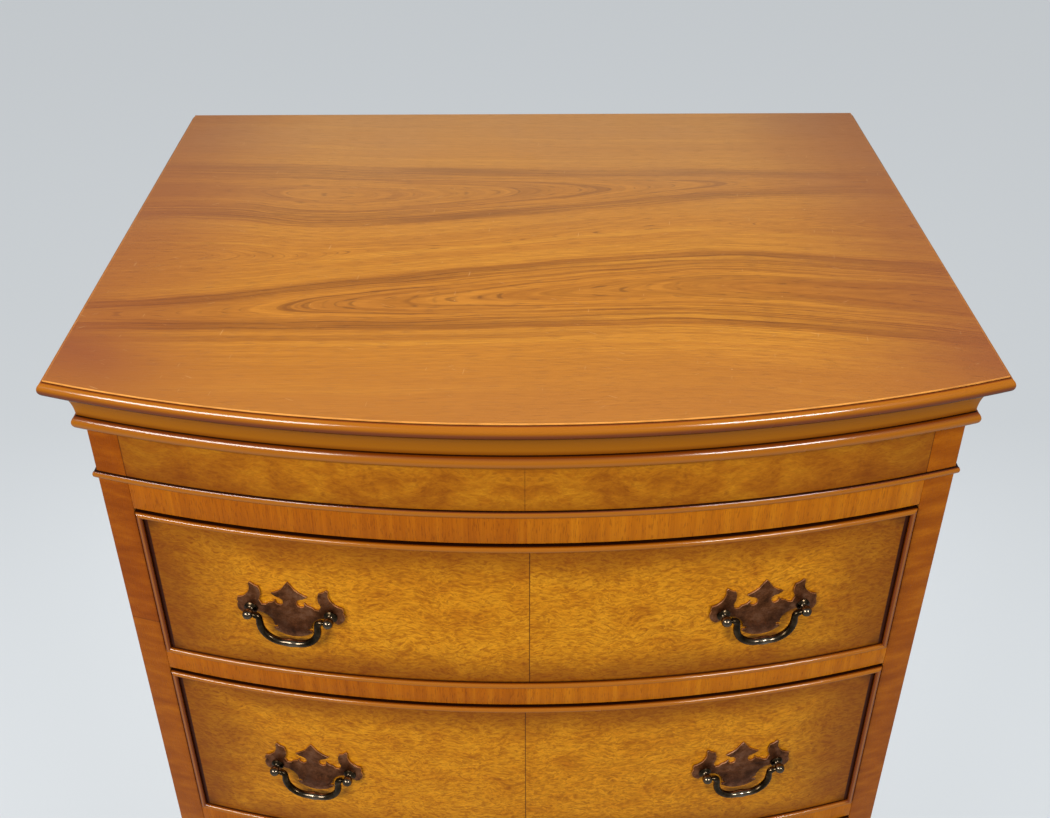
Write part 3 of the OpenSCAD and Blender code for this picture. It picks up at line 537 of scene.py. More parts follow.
# "join" is the height at which two lengths of a band meet, and at -1 there is no such place
drawerWood = {
    "dark": srgb(158, 108, 60), "middle": srgb(182, 132, 80), "light": srgb(200, 154, 102),
    "poreColour": srgb(104, 66, 36), "pores": 0.5, "fibre": 0.2, "lineWidth": 0.005, "wander": 0.010,
    "specular": 0.3, "roughness": 0.62, "relief": 0.00010, "coat": 0.0, "coatRoughness": 0.4}
crossband = {
    "dark": srgb(172, 94, 6), "middle": srgb(186, 105, 8), "light": srgb(200, 120, 14),
    "poreColour": srgb(112, 52, 4), "pores": 0.42, "fibre": 0.17, "lineWidth": 0.006, "wander": 0.003,
    "specular": 0.12, "roughness": 0.36, "relief": 0.00008, "coat": 0.08, "coatRoughness": 0.2,
    "warm": srgb(238, 226, 205), "join": -1}
stileBand = dict(crossband, dark=srgb(140, 68, 2), middle=srgb(156, 80, 3), light=srgb(176, 98, 8),
                 lineWidth=0.010, wander=0.006, fibre=0.12, pores=0.25, join=1.0885)
sideWalnut = {
    "dark": srgb(126, 74, 26), "middle": srgb(166, 104, 40), "light": srgb(190, 128, 54),
    "poreColour": srgb(84, 48, 20), "pores": 0.5, "fibre": 0.20, "lineWidth": 0.012, "wander": 0.020,
    "specular": 0.14, "roughness": 0.38, "relief": 0.00008, "coat": 0.08, "coatRoughness": 0.2}
caseWood = dict(drawerWood, dark=srgb(120, 76, 44), middle=srgb(150, 98, 58), light=srgb(172, 122, 78))
plywood = dict(drawerWood, dark=srgb(156, 114, 70), middle=srgb(184, 144, 98), light=srgb(204, 168, 124),
               lineWidth=0.016, wander=0.09)
lowerPlywood = dict(plywood, dark=srgb(146, 102, 60), middle=srgb(170, 128, 82), light=srgb(192, 152, 106),
                    lineWidth=0.022)


def makeBoardWood(name, order, look, bandOrder=None, bandLook=None, backLook=None):
    # Straight-grained board. Its front edge may be banded, and its back edge plainer.
    material, tree, surface = startMaterial(name)
    here = objectPlace(tree)
    along = reordered(here, order)
    colour, height = straightWood(along, look)
    if bandLook:
        band, _ = straightWood(reordered(here, bandOrder), bandLook)
        # The left band is warmer above its joint
        parts = axes(here)
        above = minus(parts["Z"], bandLook["join"])
        left = calculate("LESS_THAN", parts["X"], 0.0)
        upper = times(left, between(above, -0.0003, 0.0003))
        band = blendColour(upper, band, shaded(band, bandLook["warm"]))
        seam = between(unsigned(above), 0.0003, 0.0007, 0.75, 0.0)
        band = blendColour(times(seam, left), band, bandLook["poreColour"])
        colour = blendColour(facing(tree, (0, -1, 0)), colour, band)
    if backLook:
        plain, _ = straightWood(along, backLook)
        colour = blendColour(facing(tree, (0, 1, 0)), colour, plain)
    finishWood(surface, colour, height, look)
    return material


# The dark red and near black darken the creases and undersides, as wax, dirt and painted shade
redMoulding = {
    "dark": srgb(134, 70, 0), "middle": srgb(166, 94, 0), "light": srgb(194, 122, 2),
    "poreColour": srgb(70, 30, 4), "pores": 0.5, "fibre": 0.2, "lineWidth": 0.003, "wander": 0.004,
    "worn": srgb(212, 134, 30), "chip": srgb(230, 172, 96),
    "waxAndShade": srgb(104, 38, 0), "grimeAndShade": srgb(34, 12, 4), "specular": 0.1, "roughness": 0.26,
    "relief": 0.00006, "coat": 0.85, "coatRoughness": 0.11, "coatIor": 1.85}
goldMoulding = dict(redMoulding, dark=srgb(146, 82, 2), middle=srgb(166, 98, 6), light=srgb(184, 116, 12),
                    specular=0.12, roughness=0.32, coat=0.1, coatRoughness=0.15, coatIor=1.5)


def makeMoulding(name, look):
    # Reads the piece's own run: along it, out from the face, and up
    material, tree, surface = startMaterial(name)
    run = painted(tree, "run", "Vector")
    wearAndGlint = painted(tree, "wearAndGlint")
    grimeAndShade = painted(tree, "grimeAndShade")
    colour, height = straightWood(run, look)
    worn = place(wornEdge, {"Vector": run, "Band": wearAndGlint, "Amount": 0.8})
    colour = blendColour(times(worn["Mask"], 0.55), colour, look["worn"])
    colour = blendColour(worn["Chips"], colour, look["chip"])
    speckled = noise(scaled(run, (300, 900, 900)))
    # Dirt in the creases and painted shade there and under the noses turn the wood dark red, then near black
    dirtAndShade = plus(grimeAndShade, between(speckled, 0.3, 0.7, -0.2, 0.2))
    colour = blendColour(between(dirtAndShade, 0.12, 0.5, 0.0, 0.85), colour, look["waxAndShade"])
    colour = blendColour(between(dirtAndShade, 0.6, 0.95), colour, look["grimeAndShade"])
    specks = noise(scaled(run, (900, 900, 900), (7, 0, 0)), detail=1)
    nearCrease = times(between(specks, 0.64, 0.70), between(grimeAndShade, 0.03, 0.25, 0.0, 0.8))
    colour = blendColour(nearCrease, colour, look["grimeAndShade"])
    finishWood(surface, colour, minus(height, times(worn["Chips"], 2.0)), look)
    # The polish is patchy, and the dull wax in the creases takes its shine away
    patches = noise(scaled(run, (260, 900, 900), (4, 0, 0)), detail=3, roughness=0.7)
    polish = between(patches, 0.42, 0.60, look["coat"] * 0.12, look["coat"])
    feed(surface, {"Coat Weight": times(polish, between(dirtAndShade, 0.3, 0.8, 1.0, 0.15))})
    return material


plateBrass = {
    "deep": srgb(90, 52, 28), "brown": srgb(142, 86, 52), "plum": srgb(166, 112, 78),
    "brightWearAndGlint": srgb(255, 236, 214), "roughness": 0.40, "wearAndGlint": 0.9, "mottle": 120, "relief": 0.00003}
castBrass = {
    "deep": srgb(38, 31, 20), "brown": srgb(64, 52, 36), "plum": srgb(90, 74, 54),
    "brightWearAndGlint": srgb(206, 186, 160), "roughness": 0.19, "wearAndGlint": 0.45, "mottle": 120, "relief": 0}


def makePatinaBrass(name, look):
    material, tree, surface = startMaterial(name)
    here = objectPlace(tree)
    blotch = noise(here, scale=look["mottle"], detail=5, roughness=0.65)
    fine = noise(here, scale=1100, detail=3)
    colour = ramp(blotch, [(0.32, look["deep"]), (0.50, look["brown"]), (0.64, look["plum"])])
    colour = shaded(colour, ramp(fine, [(0.35, 0.78), (0.65, 1.12)]))
    # Worn bright, with a painted highlight, on the plates' bevels, the balls and the bail's grip
    rubbed = times(painted(tree, "wearAndGlint"), between(blotch, 0.35, 0.6, 0.45, 1.0))
    colour = blendColour(times(rubbed, look["wearAndGlint"]), colour, look["brightWearAndGlint"])
    feed(surface, {
        "Base Color": colour, "Normal": bump(fine, look["relief"]), "Metallic": 1.0,
        "Roughness": between(blotch, 0.3, 0.7, look["roughness"] + 0.06, look["roughness"] - 0.02)})
    return material


# How far right of the middle each drawer's two leaves meet
jointPlaces = [1.5 * mm, -1.5 * mm, 0.8 * mm, -1.0 * mm, 1.2 * mm, -0.6 * mm]
walnutTop = makeTopWalnut()
drawerBurrs = [
    makeBurrFace("burrWalnut" + str(number), drawerName(number) + "_front", number, burrWalnut, jointX)
    for number, jointX in zip(drawerNumbers, jointPlaces)]
friezeBurr = makeBurrFace(
    "burrFrieze", "frieze_board", plan["drawers"] + 1, friezeWalnut, -1.5 * mm, matched=True, framed=False)
crossbandWood = makeBoardWood("walnutCrossband", "ZXY", crossband, "ZXY", crossband)
sideWood = makeBoardWood("walnutSide", "ZYX", sideWalnut, "XZY", stileBand, caseWood)
caseInside = makeBoardWood("carcassWood", "XYZ", caseWood)
liningWood = makeBoardWood("drawerLining", "YXZ", drawerWood)
upperPanelWood = makeBoardWood("upperBackPanel", "ZXY", plywood)
lowerPanelWood = makeBoardWood("lowerBackPanel", "ZXY", lowerPlywood)
redWood = makeMoulding("redMoulding", redMoulding)
goldWood = makeMoulding("goldMoulding", goldMoulding)
plateMetal = makePatinaBrass("plateBrass", plateBrass)
castMetal = makePatinaBrass("castBrass", castBrass)
print("materials made")


# Modelling helpers

def selectOnly(piece):
    bpy.ops.object.select_all(action="DESELECT")
    piece.select_set(True)
    bpy.context.view_layer.objects.active = piece


def editAll(piece):
    selectOnly(piece)
    bpy.ops.object.mode_set(mode="EDIT")
    bpy.ops.mesh.select_all(action="SELECT")


def leaveEdit():
    bpy.ops.object.mode_set(mode="OBJECT")


def faceOutwards(piece):
    editAll(piece)
    bpy.ops.mesh.normals_make_consistent(inside=False)
    leaveEdit()


def outlinePiece(name, points, filled=True):
    # A ring of as many corners as the section has, moved onto the section
    bpy.ops.object.select_all(action="DESELECT")
    fill = "NGON" if filled else "NOTHING"
    bpy.ops.mesh.primitive_circle_add(vertices=len(points), radius=10 * mm, fill_type=fill)
    piece = bpy.context.active_object
    piece.name = piece.data.name = name
    for vertex, point in zip(piece.data.vertices, points):
        vertex.co = point
    return piece


def mergedCopy(nodeName, name):
    # A copy of a frame solid with its doubled corners merged, left in edit mode
    piece = bpy.data.objects.new(name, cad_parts[nodeName].data.copy())
    bpy.context.scene.collection.objects.link(piece)
    if "custom_normal" in piece.data.attributes:
        piece.data.attributes.remove(piece.data.attributes["custom_normal"])
    editAll(piece)
    bpy.ops.mesh.remove_doubles(threshold=0.005 * mm)
    return piece


def extrudeBy(x, y, z):
    bpy.ops.mesh.extrude_region_move(TRANSFORM_OT_translate={"value": (x, y, z)})


def cutAway(planePoint, planeNormal):
    # Cuts off what is on the normal's side and closes the cut
    bpy.ops.mesh.select_all(action="SELECT")
    bpy.ops.mesh.bisect(plane_co=planePoint, plane_no=planeNormal, use_fill=True, clear_outer=True)


def closeShape(mergeDistance=0.002 * mm):
    bpy.ops.mesh.select_all(action="SELECT")
    bpy.ops.mesh.remove_doubles(threshold=mergeDistance)
    bpy.ops.mesh.normals_make_consistent(inside=False)
    leaveEdit()


def applied(piece, kind, **settings):
    selectOnly(piece)
    modifier = piece.modifiers.new(kind.lower(), kind)
    for name, value in settings.items():
        setattr(modifier, name, value)
    bpy.ops.object.modifier_apply(modifier=modifier.name)


def softEdges(piece, width, segments=2, sharper=35):
    applied(piece, "BEVEL", width=width, segments=segments, limit_method="ANGLE",
            angle_limit=math.radians(sharper), use_clamp_overlap=True)


def mirrorAcross(piece, **settings):
    applied(piece, "MIRROR", use_axis=(True, False, False), **settings)


def smooth(piece, angle=35):
    selectOnly(piece)
    bpy.ops.object.shade_smooth_by_angle(angle=math.radians(angle))


def joined(name, pieces):
    bpy.ops.object.select_all(action="DESELECT")
    for piece in pieces:
        piece.select_set(True)
    bpy.context.view_layer.objects.active = pieces[0]
    bpy.ops.object.join()
    pieces[0].name = pieces[0].data.name = name
    return pieces[0]


def placedCopy(source, name, matrix):
    selectOnly(source)
    bpy.ops.object.duplicate(linked=False)
    copy = bpy.context.active_object
    copy.name = copy.data.name = name
    copy.matrix_world = matrix
    bpy.ops.object.transform_apply(location=True, rotation=True, scale=True)
    return copy


def discard(*pieces):
    for piece in pieces:
        bpy.data.objects.remove(piece, do_unlink=True)


def finished(piece, material):
    piece.data.materials.clear()
    piece.data.materials.append(material)
    return piece


def dress(piece, body, stoodFor):
    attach(piece, body)
    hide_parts(stoodFor)


def paint(piece, rule):
    # rule(point) gives the run along, out and up, then the wear and glint, and the grime and painted shade
    # there
    mesh = piece.data
    run = mesh.attributes.new("run", "FLOAT_VECTOR", "POINT")
    wearAndGlint = mesh.attributes.new("wearAndGlint", "FLOAT", "POINT")
    grimeAndShade = mesh.attributes.new("grimeAndShade", "FLOAT", "POINT")
    for index, vertex in enumerate(mesh.vertices):
        run.data[index].vector, wearAndGlint.data[index].value, grimeAndShade.data[index].value = rule(vertex.co)


def clamp(value):
    return max(0.0, min(1.0, value))


def arc(centreOut, centreUp, radius, start, end, steps, squash=1.0):
    points = []
    for index in range(steps + 1):
        angle = math.radians(start + (end - start) * index / steps)
        points.append((centreOut + radius * math.cos(angle), centreUp + radius * squash * math.sin(angle)))
    return points


# Mouldings: a section carried round the bow and back along the sides, mitred at the corners

moulding = {"halfTurn": math.radians(23), "steps": 88, "overrun": 60 * mm, "sideRun": 0.4,
            "innerCorner": -30 * mm, "outerCorner": 45 * mm, "easing": 0.25 * mm, "stoutEasing": 0.4 * mm}


def cornerAt(out):
    x = halfUpper + out
    return Vector((x, arcY - math.sqrt((faceRadius + out) ** 2 - x ** 2), 0))


mitreInner = cornerAt(moulding["innerCorner"])
mitreLine = (cornerAt(moulding["outerCorner"]) - mitreInner).normalized()
mitreNormal = Vector((-mitreLine.y, mitreLine.x, 0))


def otherSide(vector):
    return Vector((-vector.x, vector.y, vector.z))


def spinAlongBow(section, name, radius, halfTurn, steps):
    # Stands the section at the left end of the bow and spins it to the right, in edit mode
    ring = [Vector((-(radius + out) * math.sin(halfTurn), arcY - (radius + out) * math.cos(halfTurn), up))
            for out, up in section]
    piece = outlinePiece(name, ring)
    editAll(piece)
    bpy.ops.mesh.spin(steps=steps, angle=-2 * halfTurn, center=(0, arcY, 0), axis=(0, 0, 1))
    return piece


def mouldedRun(name, section):
    gap = Vector((plan["joint"] / 2, 0, 0))
    front = spinAlongBow(section, name, faceRadius, moulding["halfTurn"], moulding["steps"])
    cutAway(mitreInner - gap, mitreNormal)
    cutAway(otherSide(mitreInner - gap), otherSide(mitreNormal))
    closeShape()
    startY = arcY - faceRadius - moulding["overrun"]
    side = outlinePiece(name + "Side", [Vector((halfUpper + out, startY, up)) for out, up in section])
    editAll(side)
    extrudeBy(0, backY - startY, 0)
    cutAway(mitreInner + gap, -mitreNormal)
    closeShape()
    mirrorAcross(side, use_mirror_merge=False)
    piece = joined(name, [front, side])
    faceOutwards(piece)
    return piece


def runRule(nose, root, wearDepth, creases, rootSpread=1.0 * mm):
    # creases lists the heights where wax and dust gather and shade is painted, how far each spreads and how
    # black it is
    def rule(point):
        beyondMitre = (Vector((abs(point.x), point.y, 0)) - mitreInner).dot(mitreNormal)
        if beyondMitre > 0:
            out = abs(point.x) - halfUpper
            along = (math.copysign(1, point.x) * (moulding["sideRun"] + point.y), out, point.z)
        else:
            out = math.hypot(point.x, point.y - arcY) - faceRadius
            along = (math.atan2(point.x, arcY - point.y) * faceRadius, out, point.z)
        worn = clamp((out - nose + wearDepth) / wearDepth) ** 2
        # Painted shade and dirt where the moulding meets the face
        grimeAndShade = clamp((root + rootSpread - out) / rootSpread)
        for height, spread, black in creases:
            grimeAndShade = max(grimeAndShade, black * clamp(1.2 - abs(point.z - height) / spread))
        return along, worn, grimeAndShade
    return rule


def addMoulding(name, nodeName, section, rule, easing=moulding["easing"], angle=35,
                wood=redWood):
    piece = mouldedRun(name, section)
    if easing:
        softEdges(piece, easing)
    smooth(piece, angle)
    paint(piece, rule)
    dress(finished(piece, wood), "carcass", nodeName)


def buildLip():
    low, high = heights("top_lipping")
    radius = lip["nose"]
    flatAngle = math.degrees(math.asin((high - low - radius) / radius))
    root = lip["out"] - lip["depth"]
    section = [(root, high), (root, low)] + arc(lip["out"] - radius, low + radius, radius, -90, flatAngle, 16)
    boardEdge = lip["out"] - lip["quirkIn"]
    section += [(boardEdge + step, high) for step in lip["quirkSteps"]
                if boardEdge + step < section[-1][0] - 0.1 * mm]
    # Darker over the lower half of the nose: painted shade of its underside, with wax
    rule = runRule(lip["out"], boardEdge + 0.3 * mm, 6.0 * mm, [(low, 7.0 * mm, 0.85)], 0.7 * mm)
    addMoulding("cornice_lip", "top_lipping", section, rule)


cavetto = {"top": 14.3 * mm, "foot": 3.2 * mm}


def buildCavetto():
    low, high = heights("cornice_cavetto")
    wide = cavetto["top"] - cavetto["foot"]
    section = [(0, high), (0, low)]
    section += [(cavetto["top"] - wide * across, low + (high - low) * rise)
                for across, rise in arc(0, 0, 1, 0, 90, 18)]
    # Wax specks along the foot, and painted shade at the top, under the lip's nose
    rule = runRule(cavetto["top"], 0, 1.0 * mm, [(low, 4.5 * mm, 0.36), (high, 1.6 * mm, 0.9)])
    addMoulding("cornice_hollow", "cornice_cavetto", section, rule,
                wood=goldWood)


neckBead = {"out": 6.8 * mm}


def buildNeckBead():
    low, high = heights("cornice_bead")
    radius = (high - low) / 2
    section = [(0, high), (0, low)] + arc(neckBead["out"] - radius, low + radius, radius, -90, 90, 16)
    # A black line and a dark red band under the cavetto, and a darker foot: painted shade with wax in the
    # creases
    creases = [(high, 1.6 * mm, 1), (high, 3.4 * mm, 0.5), (low, 2.0 * mm, 0.4)]
    rule = runRule(neckBead["out"], 0.6 * mm, 2.0 * mm, creases)
    addMoulding("cornice_round", "cornice_bead", section, rule)


friezeBead = {"out": 2.4 * mm, "edge": 0.4 * mm}


def buildFriezeBead():
    low, high = heights("frieze_bead")
    across = friezeBead["out"] - friezeBead["edge"]
    nose = arc(friezeBead["edge"], (low + high) / 2, across, -90, 90, 14, (high - low) / 2 / across)
    # Dark lines above and below the bead: painted shade with wax in the creases
    creases = [(high, 1.1 * mm, 1), (low, 1.0 * mm, 0.5)]
    rule = runRule(friezeBead["out"], friezeBead["edge"] - 0.3 * mm, 1.2 * mm, creases)
    addMoulding("frieze_round", "frieze_bead", [(0, high), (0, low)] + nose, rule, easing=0, angle=50)


waist = {"out": 15 * mm, "clear": 0.3 * mm, "round": 9 * mm, "drop": 14 * mm}


def buildWaist():
    # Covers the joint of the two chests: it stands on the lower one and just clears the upper
    low, high = heights("waist_moulding")
    ledge = low + waist["drop"]
    section = [(waist["clear"], high), (waist["clear"], ledge), (plan["step"], ledge), (plan["step"], low),
               (waist["out"], low)]
    section += arc(waist["out"] - waist["round"], high - waist["round"], waist["round"], 0, 90, 12)
    # A dark line where the upper chest meets it: painted shade and dirt in the crease
    rule = runRule(waist["out"], waist["clear"], 2.0 * mm, [(high, 0.8 * mm, 1)])
    addMoulding("waist_run", "waist_moulding", section, rule, easing=moulding["stoutEasing"])


base = {"out": 19.38 * mm, "band": 13 * mm, "shoulder": 1.5 * mm}


def buildBase():
    low, high = heights("base_moulding")
    bandTop = low + base["band"]
    across = base["out"] - base["shoulder"] - plan["step"]
    section = [(plan["step"], low), (base["out"], low), (base["out"], bandTop)]
    section += arc(plan["step"], bandTop, across, 0, 90, 12, (high - bandTop) / across)
    # Dark lines at the top and at the band's top: painted shade and dirt in the creases
    rule = runRule(base["out"], plan["step"], 2.0 * mm, [(high, 0.8 * mm, 1), (bandTop, 0.8 * mm, 1)])
    addMoulding("base_run", "base_moulding", section, rule, easing=moulding["stoutEasing"])


for build in (buildLip, buildCavetto, buildNeckBead, buildFriezeBead, buildWaist, buildBase):
    build()
print("mouldings modelled")


# Boards: a merged copy of a frame board, with its arrises eased

def easedBoard(nodeName, width, material):
    piece = mergedCopy(nodeName, nodeName + "_eased")
    bpy.ops.mesh.select_all(action="SELECT")
    bpy.ops.mesh.dissolve_limited(angle_limit=math.radians(0.3))
    leaveEdit()
    softEdges(piece, width, 3)
    smooth(piece, 40)
    dress(finished(piece, material), "carcass", nodeName)


easedBoard("top_board", 0.3 * mm, walnutTop)
for side in ("left", "right"):
    easedBoard("upper_side_" + side, 0.8 * mm, sideWood)
    easedBoard("lower_side_" + side, 0.8 * mm, sideWood)
easedBoard("upper_rails", 0.4 * mm, crossbandWood)
easedBoard("lower_rails", 0.4 * mm, crossbandWood)
print("boards eased")


# Cockbeads: a rounded strip round each drawer front, mitred at its corners

cockbead = {"thick": 4.4 * mm, "proud": 3 * mm, "deep": 10 * mm, "overrun": 20 * mm, "steps": 72,
            "worn": 1.6 * mm, "darkRoot": 2.0 * mm}


def buildCockbead(number):
    low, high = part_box(drawerName(number) + "_front")
    radius = drawerRadius(number)
    thick, proud, deep = cockbead["thick"], cockbead["proud"], cockbead["deep"]
    nose = thick / 2
    half = high.x
    halfTurn = math.asin((half + cockbead["overrun"]) / radius)
    gap = plan["joint"]

    def bowedStrip(name, bottom, way):
        section = [(-deep, bottom + thick), (-deep, bottom)]
        section += arc(proud - nose, bottom + nose, nose, -90, 90, 10)
        section += [(0.3 * mm, bottom + thick), (-0.6 * mm, bottom + thick)]
        strip = spinAlongBow(section, name, radius, halfTurn, cockbead["steps"])
        outer = bottom if way > 0 else bottom + thick
        cutAway((half, 0, outer), (1, 0, way))
        cutAway((-half, 0, outer), (-1, 0, way))
        closeShape()
        return strip

    def uprights():
        section = [(-deep, thick), (-deep, 0)]
        section += [(out, nose - across) for out, across in arc(proud - nose, 0, nose, -90, 90, 10)]
        points = []
        for out, inward in section:
            x = half - inward
            points.append(Vector((x, arcY - math.sqrt((radius + out) ** 2 - x ** 2), low.z)))
        strip = outlinePiece("uprights", points)
        editAll(strip)
        extrudeBy(0, 0, high.z - low.z)
        cutAway((half, 0, low.z + gap), (-1, 0, -1))
        cutAway((half, 0, high.z - gap), (-1, 0, 1))
        closeShape()
        mirrorAcross(strip, use_mirror_merge=False)
        return strip

    def rule(point):
        out = math.hypot(point.x, point.y - arcY) - radius
        across = math.atan2(point.x, arcY - point.y) * radius
        fromEnd = half - abs(point.x)
        onUpright = fromEnd < min(high.z - point.z, point.z - low.z)
        worn = clamp((out - proud + cockbead["worn"]) / cockbead["worn"]) ** 2
        # Dark towards the root, down in the gap by the rail: painted shade with dirt in the crease
        dirtAndShade = clamp(1.1 - out / cockbead["darkRoot"])
        if onUpright:
            # The uprights are darker all over, and darkest at their edges as painted shade of their sides
            dirtAndShade = max(dirtAndShade, 0.22 + 0.3 * clamp(abs(fromEnd - nose) / (0.6 * nose)))
        return (point.z, out, across) if onUpright else (across, out, point.z), worn, dirtAndShade

    name = drawerName(number) + "_bead"
    piece = joined(name, [bowedStrip(name, low.z, 1), bowedStrip("topStrip", high.z - thick, -1), uprights()])
    faceOutwards(piece)
    smooth(piece, 40)
    paint(piece, rule)
    dress(finished(piece, redWood), drawerName(number), drawerName(number) + "_cockbead")


for number in drawerNumbers:
    buildCockbead(number)
print("cockbeads modelled")


# Handles: pierced plates, turned posts with ball ends, nuts, and bails that hang from the balls

handle = {"reach": 163 * mm, "drop": 2.5 * mm, "pitch": 57 * mm, "postDrop": 2.6 * mm, "plate": 1.5 * mm,
          "bevel": 0.5 * mm, "bevelFrom": 0.9 * mm, "frontThick": 20 * mm,
          "runGap": 0.3 * mm, "topGap": 2 * mm}
post = {"shank": 2.0 * mm, "tail": 5.0 * mm, "collar": 4.8 * mm, "collarThick": 2 * mm, "stem": 2.4 * mm,
        "ball": 3.8 * mm, "ballOut": 8.2 * mm, "hole": 1.47 * mm, "holeDepth": 1.0 * mm, "turnSteps": 40,
        "ballSteps": 18, "brightFrom": 3.4 * mm, "brightOver": 1.5 * mm}
nut = {"corner": 4.5 * mm, "wall": 2.2 * mm, "thick": 3 * mm}
bail = {"half": 20.7 * mm, "drop": 22.5 * mm, "limb": 2.6 * mm, "grip": 3.1 * mm, "neck": 2.3 * mm,
        "neckBend": 3.2 * mm, "gripBend": 15.5 * mm, "pin": 1.4 * mm, "endPlay": 0.35 * mm,
        "shoulder": 0.25 * mm, "swellSteps": 8, "brightHalf": 12 * mm}


def ringRoundX(radius, count, x):
    turns = [2 * math.pi * index / count for index in range(count)]
    return [Vector((x, radius * math.cos(turn), radius * math.sin(turn))) for turn in turns]


def turnedPiece(name, profile):
    # profile is (radius, y), turned round the Y axis
    piece = outlinePiece(name, [Vector((radius, y, 0)) for radius, y in profile], filled=False)
    ends = {0, len(profile) - 1}
    for vertex in piece.data.vertices:
        vertex.select = vertex.index in ends
    for edge in piece.data.edges:
        edge.select = set(edge.vertices) == ends
    bpy.ops.object.mode_set(mode="EDIT")
    bpy.ops.mesh.delete(type="EDGE")
    bpy.ops.mesh.select_all(action="SELECT")
    bpy.ops.mesh.spin(steps=post["turnSteps"], angle=2 * math.pi, center=(0, 0, 0), axis=(0, 1, 0))
    closeShape(0.01 * mm)
    return piece


def buildPost():
    shank, collar, stem, ball = post["shank"], post["collar"], post["stem"], post["ball"]
    plateTop = -handle["plate"] - plan["joint"]
    collarTop = plateTop - post["collarThick"]
    inside = handle["frontThick"] + post["tail"]
    ballFront = -post["ballOut"]
    meet = math.asin(stem * 0.86 / ball)
    profile = [(0, inside), (shank - 0.3 * mm, inside), (shank, inside - 0.3 * mm), (shank, plateTop),
               (collar - 0.2 * mm, plateTop), (collar, plateTop - 0.2 * mm), (collar, plateTop - 0.7 * mm),
               (collar - 0.5 * mm, plateTop - 1.1 * mm), (collar - 1.3 * mm, collarTop + 0.3 * mm),
               (stem + 0.5 * mm, collarTop), (stem, collarTop - 0.5 * mm),
               (stem * 0.9, ballFront + ball * math.cos(meet) + 0.4 * mm)]
    for index in range(post["ballSteps"]):
        angle = meet + (math.pi - meet) * index / post["ballSteps"]
        profile.append((ball * math.sin(angle), ballFront + ball * math.cos(angle)))
    profile.append((0, ballFront + ball * math.cos(math.pi)))
    piece = turnedPiece("postStart", profile)
    hole = outlinePiece("pinHole", ringRoundX(post["hole"], 20, post["holeDepth"]))
    editAll(hole)
    extrudeBy(-2 * ball, 0, 0)
    closeShape()
    hole.location = (0, ballFront, 0)
    applied(piece, "BOOLEAN", object=hole, operation="DIFFERENCE", solver="EXACT")
    discard(hole)
    smooth(piece, 40)
    return piece


def buildNut():
    turns = [math.pi * side / 3 for side in range(6)]
    corners = [Vector((math.cos(turn), 0, math.sin(turn))) * nut["corner"] for turn in turns]
    piece = outlinePiece("nutStart", corners)
    editAll(piece)
    bpy.ops.mesh.inset(thickness=nut["wall"])
    bpy.ops.mesh.delete(type="FACE")
    bpy.ops.mesh.select_all(action="SELECT")
    extrudeBy(0, nut["thick"], 0)
    closeShape()
    softEdges(piece, 0.3 * mm)
    smooth(piece, 30)
    return piece


def buildBail():
    # Half a bail from its pin to the middle of the grip, then mirrored
    ballSide = handle["pitch"] / 2 - post["ball"] - bail["endPlay"]
    pinEnd = handle["pitch"] / 2 + post["holeDepth"] - bail["endPlay"]
    elbow = bail["half"] + bail["neckBend"]
    gripHalf = bail["half"] - bail["gripBend"]
    bendTop = bail["gripBend"] - bail["drop"]
    piece = outlinePiece("bailStart", ringRoundX(bail["pin"], 24, pinEnd))
    editAll(piece)

    def push(x, z, scale=(1, 1, 1), centre=None):
        extrudeBy(x, 0, z)
        if centre:
            bpy.ops.transform.resize(value=scale, center_override=centre)

    push(ballSide - pinEnd, 0)
    swell = bail["neck"] * 0.9 / bail["pin"]
    push(0, 0, (1, swell, swell), (ballSide, 0, 0))
    push(-bail["shoulder"], 0, (1, 1 / 0.9, 1 / 0.9), (ballSide - bail["shoulder"], 0, 0))
    push(elbow - ballSide + bail["shoulder"], 0)
    bpy.ops.mesh.spin(steps=10, angle=math.pi / 2, center=(elbow, 0, -bail["neckBend"]), axis=(0, 1, 0))
    swell = bail["limb"] / bail["neck"]
    push(0, bendTop + bail["neckBend"], (swell, swell, 1), (bail["half"], 0, bendTop))
    bpy.ops.mesh.spin(steps=12, angle=-math.pi / 2, axis=(0, 1, 0), center=(gripHalf, 0, bendTop))
    steps = bail["swellSteps"]
    before = bail["limb"]
    for index in range(1, steps + 1):
        here = bail["limb"] + (bail["grip"] - bail["limb"]) * math.sin(math.pi / 2 * index / steps) ** 2
        centre = (gripHalf * (1 - index / steps), 0, -bail["drop"])
        push(-gripHalf / steps, 0, (1, here / before, here / before), centre)
        before = here
    bpy.ops.mesh.delete(type="FACE")
    leaveEdit()
    mirrorAcross(piece, use_mirror_merge=True, merge_threshold=0.02 * mm)
    editAll(piece)
    closeShape(0.001 * mm)
    smooth(piece, 40)
    return piece


def handlePlace(number, side):
    low, high = heights(drawerName(number) + "_front")
    radius = drawerRadius(number)
    middle = (low - handle["runGap"] + high + handle["topGap"]) / 2 - handle["drop"]
    return (Matrix.Translation((0, arcY, middle)) @ Matrix.Rotation(side * handle["reach"] / radius, 4, "Z")
            @ Matrix.Translation((0, -radius, 0)))


def plateCopies(number):
    # The two pierced plates are the widest pieces of the frame's node
    piece = mergedCopy(drawerName(number) + "_handle_mounts", "plates")
    bpy.ops.mesh.separate(type="LOOSE")
    leaveEdit()
    parts = sorted(bpy.context.selected_objects, key=lambda part: part.dimensions.x)
    plates = parts[-2:]
    discard(*parts[:-2])
    for plate in plates:
        editAll(plate)
        bpy.ops.mesh.dissolve_limited(angle_limit=math.radians(1))
        leaveEdit()
        softEdges(plate, handle["bevel"], 3, 50)
    return finished(joined("plates", plates), plateMetal)


